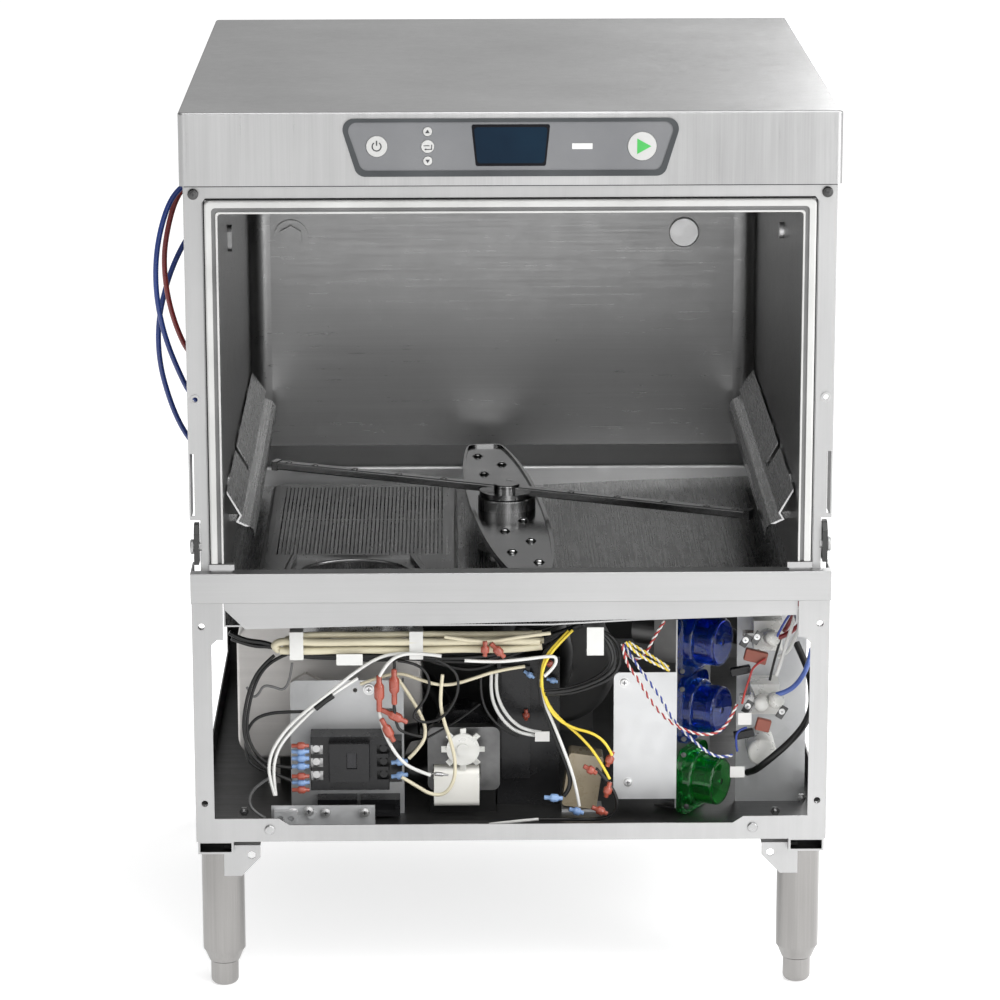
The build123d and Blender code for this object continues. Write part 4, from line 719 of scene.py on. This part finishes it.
PAIRS = {
    "pair_yellow_a": ("yellow", "white", flat(-292,
        (109, 349), (118, 339), (132, 330), (151, 321))),
    "pair_yellow_b": ("yellow", "white", flat(-288,
        (112, 348), (123, 341), (137, 332), (150, 323))),
    "pair_red_long": ("red_wire", "white", [
        (106, -292, 347), (108, -292, 331), (120, -292, 314), (134, -292, 289), (148, -292, 272),
        (166, -292, 261), (185, -292, 256), (200, -288, 258), (211, -280, 269), (217, -270, 280)]),
    "pair_blue_long": ("blue_wire", "white", [
        (108, -288, 345), (117, -288, 330), (130, -288, 311), (143, -288, 293), (155, -288, 269),
        (172, -288, 252), (188, -286, 237), (202, -282, 230), (213, -276, 231)]),
    "pair_red_up": ("red_wire", "white", flat(-286,
        (108, 337), (118, 328), (129, 336), (136, 352), (146, 368))),
}
for name, (first, second, points) in PAIRS.items():
    twisted_pair(name, points, first, second)


def crimps(name, material, radius, depth, rows):
    """Insulated crimp terminals between pairs of (x, z) points in mm, as one piece."""
    form = bmesh.new()
    for start, end in rows:
        reach = Vector((end[0] - start[0], 0, end[1] - start[1]))
        length = reach.length
        profile = [(radius * 0.50, 0), (radius * 0.56, length * 0.04), (radius * 0.54, length * 0.30),
                   (radius * 0.94, length * 0.37), (radius, length * 0.42), (radius, length * 0.68),
                   (radius * 0.90, length * 0.73), (radius * 0.52, length * 0.80),
                   (radius * 0.55, length * 0.97), (radius * 0.45, length)]
        add_lathe(form, profile, (start[0], depth, start[1]), reach, 16)
    piece(name, to_mesh(name, form, True), material)


# name, material, radius, depth, and the ends of each terminal
CRIMPS = [
    ("crimps_drop", "red_crimp", 5.0, -280, [
        ((-125.7, 278), (-125.7, 314)), ((-111.3, 285), (-111.3, 320))]),
    ("crimps_coil", "red_crimp", 4.6, -274, [
        ((-124, 278), (-99, 265)), ((-124, 269), (-112, 246))]),
    ("crimps_middle", "red_crimp", 4.2, -286, [
        ((-24.5, 349), (-24.5, 334)), ((-19, 347), (-6, 333))]),
    ("crimps_contactor_red", "red_crimp", 3.6, -262, [
        ((-211, 238.4), (-194, 238.4)), ((-211, 207.5), (-194, 207.5)),
        ((-211, 193.8), (-194, 193.8))]),
    ("crimps_contactor_blue", "blue_crimp", 3.8, -260, [
        ((-211, 232), (-194, 232)), ((-211, 225), (-194, 225)), ((-211, 217), (-194, 217)),
        ((-211, 200.7), (-194, 200.7)), ((-115, 220), (-99, 222)), ((-115, 206), (-99, 208))]),
    ("crimps_right_red", "red_crimp", 4.2, -278, [
        ((97.8, 236), (92.6, 221)), ((95.4, 205), (91.5, 190)), ((70, 221.5), (82.6, 214)),
        ((78, 180), (93, 173))]),
    ("crimps_right_blue", "blue_crimp", 4.0, -278, [
        ((32, 190), (50, 189)), ((56, 178), (70, 174))]),
    ("crimps_module", "blue_crimp", 3.0, -208, [
        ((14, 296), (24, 289)), ((36, 288), (47, 285))]),
    ("crimps_module_red", "red_crimp", 3.6, -208, [
        ((35, 308), (42, 300)), ((16, 257), (16, 246))]),
    ("crimps_valves", "red_crimp", 3.0, -244, [
        ((238.6, 327), (238.6, 318)), ((241.8, 256), (241.8, 247))]),
    ("spade_coil", "zinc", 2.0, -262, [
        ((-80, 210), (-60, 208))]),
]
for row in CRIMPS:
    crimps(*row)


# ---------------------------------------------------------------- control panel details
PRINT_PROUD, PRINT_SUNK = 0.12, 0.05


def icon(name, node, shapes, material="print"):
    """Flat printed shapes on a button's face, in mm from its centre."""
    low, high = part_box(node)
    centre_x, centre_z = (low[0] + high[0]) * 500, (low[2] + high[2]) * 500
    face = low[1] * 1000
    form = bmesh.new()
    for outline in shapes:
        placed = [(centre_x + x, centre_z + z) for x, z in outline]
        add_plate(form, placed, face - PRINT_PROUD, face + PRINT_SUNK)
    piece(name, to_mesh(name, form), material, node)


def arc_band(radius, width, first, last, steps=28):
    """Outline of a ring's sector, angles in degrees from +X."""
    angles = [math.radians(first + (last - first) * step / steps) for step in range(steps + 1)]
    outer = [(radius * math.cos(a), radius * math.sin(a)) for a in angles]
    inner = [((radius - width) * math.cos(a), (radius - width) * math.sin(a)) for a in reversed(angles)]
    return outer + inner


icon("power_icon", "power_button", [
    arc_band(4.6, 1.1, 125, 415),
    [(-0.6, 0.8), (0.6, 0.8), (0.6, 5.4), (-0.6, 5.4)]])
icon("up_icon", "up_button", [[(-2.1, -1.3), (2.1, -1.3), (0, 2.0)]])
icon("down_icon", "down_button", [[(-2.1, 1.3), (0, -2.0), (2.1, 1.3)]])
icon("enter_icon", "enter_button", [
    [(-3.0, -2.6), (-1.2, -3.7), (-1.2, -1.5)],
    [(-1.6, -3.0), (4.1, -3.0), (4.1, 1.8), (3.3, 1.8), (3.3, -2.2), (-1.6, -2.2)],
    [(-3.6, 0.4), (1.8, 0.4), (1.8, 1.2), (-3.6, 1.2)]])
icon("start_icon", "start_button", [[(-4.6, -7.2), (8.4, 0), (-4.6, 7.2)]], "green_print")


def display_glass():
    """The screen inside the display window's border, a little narrower at its foot."""
    low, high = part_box("display_window")
    half = (high[0] - low[0]) * 500
    top, foot = half - 2.4, half - 5.0
    middle = (low[0] + high[0]) * 500
    roof, base = high[2] * 1000 - 2.6, low[2] * 1000 + 2.6
    face = low[1] * 1000
    right = [(foot - 2.5, base), (foot - 0.6, base + 1), (foot + 0.1, base + 3),
             (top, roof - 3), (top - 0.6, roof - 1), (top - 2.5, roof)]
    outline = [(middle + x, z) for x, z in right] + [(middle - x, z) for x, z in reversed(right)]
    form = bmesh.new()
    add_plate(form, outline, face - 0.15, face + 0.2)
    piece("display_glass", to_mesh("display_glass", form), "display")


display_glass()
overlay_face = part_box("control_overlay")[0][1] * 1000
label = bmesh.new()
add_slab(label, (56, overlay_face - 0.15, 827.4), (74.6, overlay_face + 0.1, 832.6))
piece("blank_label", to_mesh("blank_label", label), "light_print")


# ---------------------------------------------------------------- nozzle domes
WASH_TURNS = {"lower_wash_arm": math.radians(4.4), "upper_wash_arm": math.radians(84)}
NOZZLE_REACHES = (58, 98, 138, 178, 218)
NOZZLE_OFFSET = 11
ARM_DEPTH = 8.9
DOME_SHAPE = [(3.9, 0), (3.6, 0.9), (2.6, 1.6), (1.3, 2.0)]
for arm in ("lower_wash_arm", "upper_wash_arm"):
    low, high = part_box(arm)
    lower = arm.startswith("lower")
    middle = ((low[0] + high[0]) * 500, (low[1] + high[1]) * 500)
    seat = (low[2] if lower else high[2]) * 1000
    way = 1 if lower else -1
    turn = WASH_TURNS[arm]
    form = bmesh.new()
    for index, reach in enumerate(NOZZLE_REACHES):
        offset = NOZZLE_OFFSET if index % 2 else -NOZZLE_OFFSET
        for side in (-1, 1):
            along, across = way * side * reach, side * offset
            x = math.cos(turn) * across - math.sin(turn) * along
            y = math.sin(turn) * across + math.cos(turn) * along
            spot = (middle[0] + x, middle[1] + y, seat + way * ARM_DEPTH)
            add_lathe(form, DOME_SHAPE, spot, (0, 0, way), 16)
    # the domes take the near-white steel, a painted highlight on each nozzle
    piece(arm + "_domes", to_mesh(arm + "_domes", form, True), "dome", arm)


# ---------------------------------------------------------------- valve fittings
VALVE_DOME = [(7.5, 0), (7.6, 8), (7.0, 11.5), (5.0, 13.6), (2.0, 14.4)]
domes = bmesh.new()
for start, axis in (((251, -240, 339), (0.25, -1, 0.1)), ((255, -240, 276), (0.25, -1, 0.1)),
                    ((243, -240, 274), (-0.1, -1, 0))):
    add_lathe(domes, VALVE_DOME, start, axis)
piece("valve_domes", to_mesh("valve_domes", domes, True), "frosted")


def tilted_slabs(name, rows, front, back, edge, turn, material):
    """Rounded slabs of (middle x, middle z, half width, half height) in mm, tilted about Y."""
    form = bmesh.new()
    for x, z, wide, tall in rows:
        low, high = (x - wide, front, z - tall), (x + wide, back, z + tall)
        add_slab(form, low, high, edge, Matrix.Rotation(turn, 3, "Y"))
    piece(name, to_mesh(name, form), material)


tilted_slabs("valve_terminals", [(226, 338, 3.6, 6.5), (237, 341, 3.6, 6.5), (229, 271.6, 3.6, 6.5),
                                 (262, 266, 3.6, 6.5)], -252, -249.6, 0.5, 0.55, "iron")
screws("valve_screws", flat(-252, (226, 339), (237, 342), (229, 272.6), (262, 267)), 2.4)
tilted_slabs("valve_plugs", [(236, 323, 11, 6), (244, 254, 7, 6)], -256, -249, 1.2, 0.25,
             "terminal_red")
tilted_slabs("valve_sleeves", [(222, 307, 10, 4), (226, 243, 10, 4)], -250, -243, 1.5, -0.2,
             "black")


# ---------------------------------------------------------------- painted shadow lines at seams and gaps
def bead(name, corners, radius, material):
    """A square bead along the straight runs between corners in mm."""
    form = bmesh.new()
    for (x1, y1, z1), (x2, y2, z2) in zip(corners, corners[1:]):
        low = (min(x1, x2) - radius, y1 - radius, min(z1, z2) - radius)
        high = (max(x1, x2) + radius, y1 + radius, max(z1, z2) + radius)
        add_slab(form, low, high, radius * 0.5)
    piece(name, to_mesh(name, form), material)


low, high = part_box("door_gasket")
side, roof, foot = high[0] * 1000 + 0.7, high[2] * 1000 + 0.7, low[2] * 1000
# painted shadow: a thin black line round the gasket stands in for the shaded gap between the header and
# the gasket
bead("gasket_shadow_line", flat(-305.2, (-side, foot), (-side, roof), (side, roof), (side, foot)), 0.7,
     "black")
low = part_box("hood")[0]
depth, height = low[1] * 1000 + 1.2, low[2] * 1000 - 0.5
# painted shadow: a dark line under the hood's lower edge stands in for the shade in the seam
bead("hood_seam_shadow", flat(depth, (-299, height), (299, height)), 0.5, "print")
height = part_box("sill_bar")[0][2] * 1000 - 0.9
# painted shadow: a black strip under the sill stands in for the shadow between the sill and the posts
bead("sill_shadow_strip", flat(-304.5, (-300, height), (300, height)), 0.8, "black")


# ---------------------------------------------------------------- screws, studs and labels
screws("panel_screws", flat(-309.2, (-292, 784), (292, 784)), 3.4, "iron")
lead("pair_sleeve", flat(-278, (-187, 281), (-181, 286), (-176, 290), (-170, 294)), 3.4, "rubber")
screws("base_screws", flat(-305, (-231, 168), (231, 168)), 3.8, "lamination")
screws("bracket_screws", flat(-245, (110, 295), (114, 194)), 4.2)
screws("plate_screws", flat(-227.5, (-136.6, 284)), 4.4)
screws("strip_screws", flat(-269, (-209.5, 172.8), (-194.8, 174.4), (-178.4, 172.6), (-140.9, 172.8)), 4.2)
screws("pump_screws", flat(-262, (165, 311), (165, 293), (167, 243), (167, 227), (170, 175)), 2.0, "iron")
NUT_ON_STUD = [(4.6, 0), (4.6, 2.6), (2.1, 2.7), (2.1, 7)]
nuts = bmesh.new()
for spot in flat(-262, (-252, 374), (-257.5, 172.5), (256, 170), (281, 183)):
    add_lathe(nuts, NUT_ON_STUD, spot, FRONTWARD, 6)
piece("stud_nuts", to_mesh("stud_nuts", nuts), "zinc")
TAGS = [((-166, -283.2, 325), (-141, -282.6, 336)), ((24, -245.2, 236), (38, -244.7, 246)),
        ((219, -262.4, 257), (232, -262, 269)), ((212, -262.4, 204), (226, -262, 215))]
tags = bmesh.new()
for low, high in TAGS:
    add_slab(tags, low, high)
piece("blank_tags", to_mesh("blank_tags", tags), "white")


# ---------------------------------------------------------------- floor and light
FLOOR_REACH = 40.0
FLOOR_GLOW = 0.62
ROOM_LEFT, ROOM_RIGHT = 0.30, 0.85      # brightness of the surround at either side


def make_stage():
    """Pale floor that stays white, and a soft surround that is brighter to the right."""
    mesh = bpy.data.meshes.new("floor")
    far = FLOOR_REACH
    corners = [(-far, -far, 0), (far, -far, 0), (far, far, 0), (-far, far, 0)]
    mesh.from_pydata(corners, [], [(0, 1, 2, 3)])
    floor = bpy.data.objects.new("floor", mesh)
    scene.collection.objects.link(floor)
    material, tree, shader = new_material("floor_white")
    tree.links.new(blend(tree, noise(tree, (2, 2, 2)), (0.80, 0.80, 0.80), (0.84, 0.84, 0.84)),
                   shader.inputs["Base Color"])
    shader.inputs["Roughness"].default_value = 0.95
    shader.inputs["Emission Color"].default_value = (1, 1, 1, 1)
    shader.inputs["Emission Strength"].default_value = FLOOR_GLOW
    mesh.materials.append(material)
    world = bpy.data.worlds.new("world")
    scene.world = world
    world.use_nodes = True
    tree = world.node_tree
    source = tree.nodes.new("ShaderNodeTexCoord")
    split = tree.nodes.new("ShaderNodeSeparateXYZ")
    tree.links.new(source.outputs["Generated"], split.inputs["Vector"])
    strength = spread(tree, split.outputs["X"], ROOM_LEFT, ROOM_RIGHT, -0.7, 0.7)
    background = tree.nodes["Background"]
    background.inputs["Color"].default_value = (1, 1, 1, 1)
    tree.links.new(strength, background.inputs["Strength"])


def softbox(name, place_at, target, size, power):
    """Rectangular area light aimed at a point."""
    data = bpy.data.lights.new(name, "AREA")
    data.shape = "RECTANGLE"
    data.size, data.size_y = size
    data.energy = power
    light = bpy.data.objects.new(name, data)
    scene.collection.objects.link(light)
    light.visible_camera = False
    aim = (Vector(target) - Vector(place_at)).to_track_quat("-Z", "Y").to_matrix().to_4x4()
    light.matrix_world = Matrix.Translation(place_at) @ aim


make_stage()
# name, place, target and size in metres, and power in watts
LIGHTS = [
    ("overhead", (0.5, -1.4, 3.0), (0, 0, 0.5), (2.2, 1.8), 35),
    ("front", (0.3, -3.6, 1.5), (0, 0, 0.4), (1.4, 1.4), 14),
    ("low_right", (1.3, -2.2, 0.5), (0.25, -0.3, 0.4), (0.7, 0.9), 4),
    ("right", (2.2, -1.6, 1.4), (0, 0, 0.5), (1.2, 2.0), 35),
    ("back_right", (0.95, 1.4, 1.5), (0.2, 0, 0.86), (1.0, 1.2), 22),
]
for row in LIGHTS:
    softbox(*row)
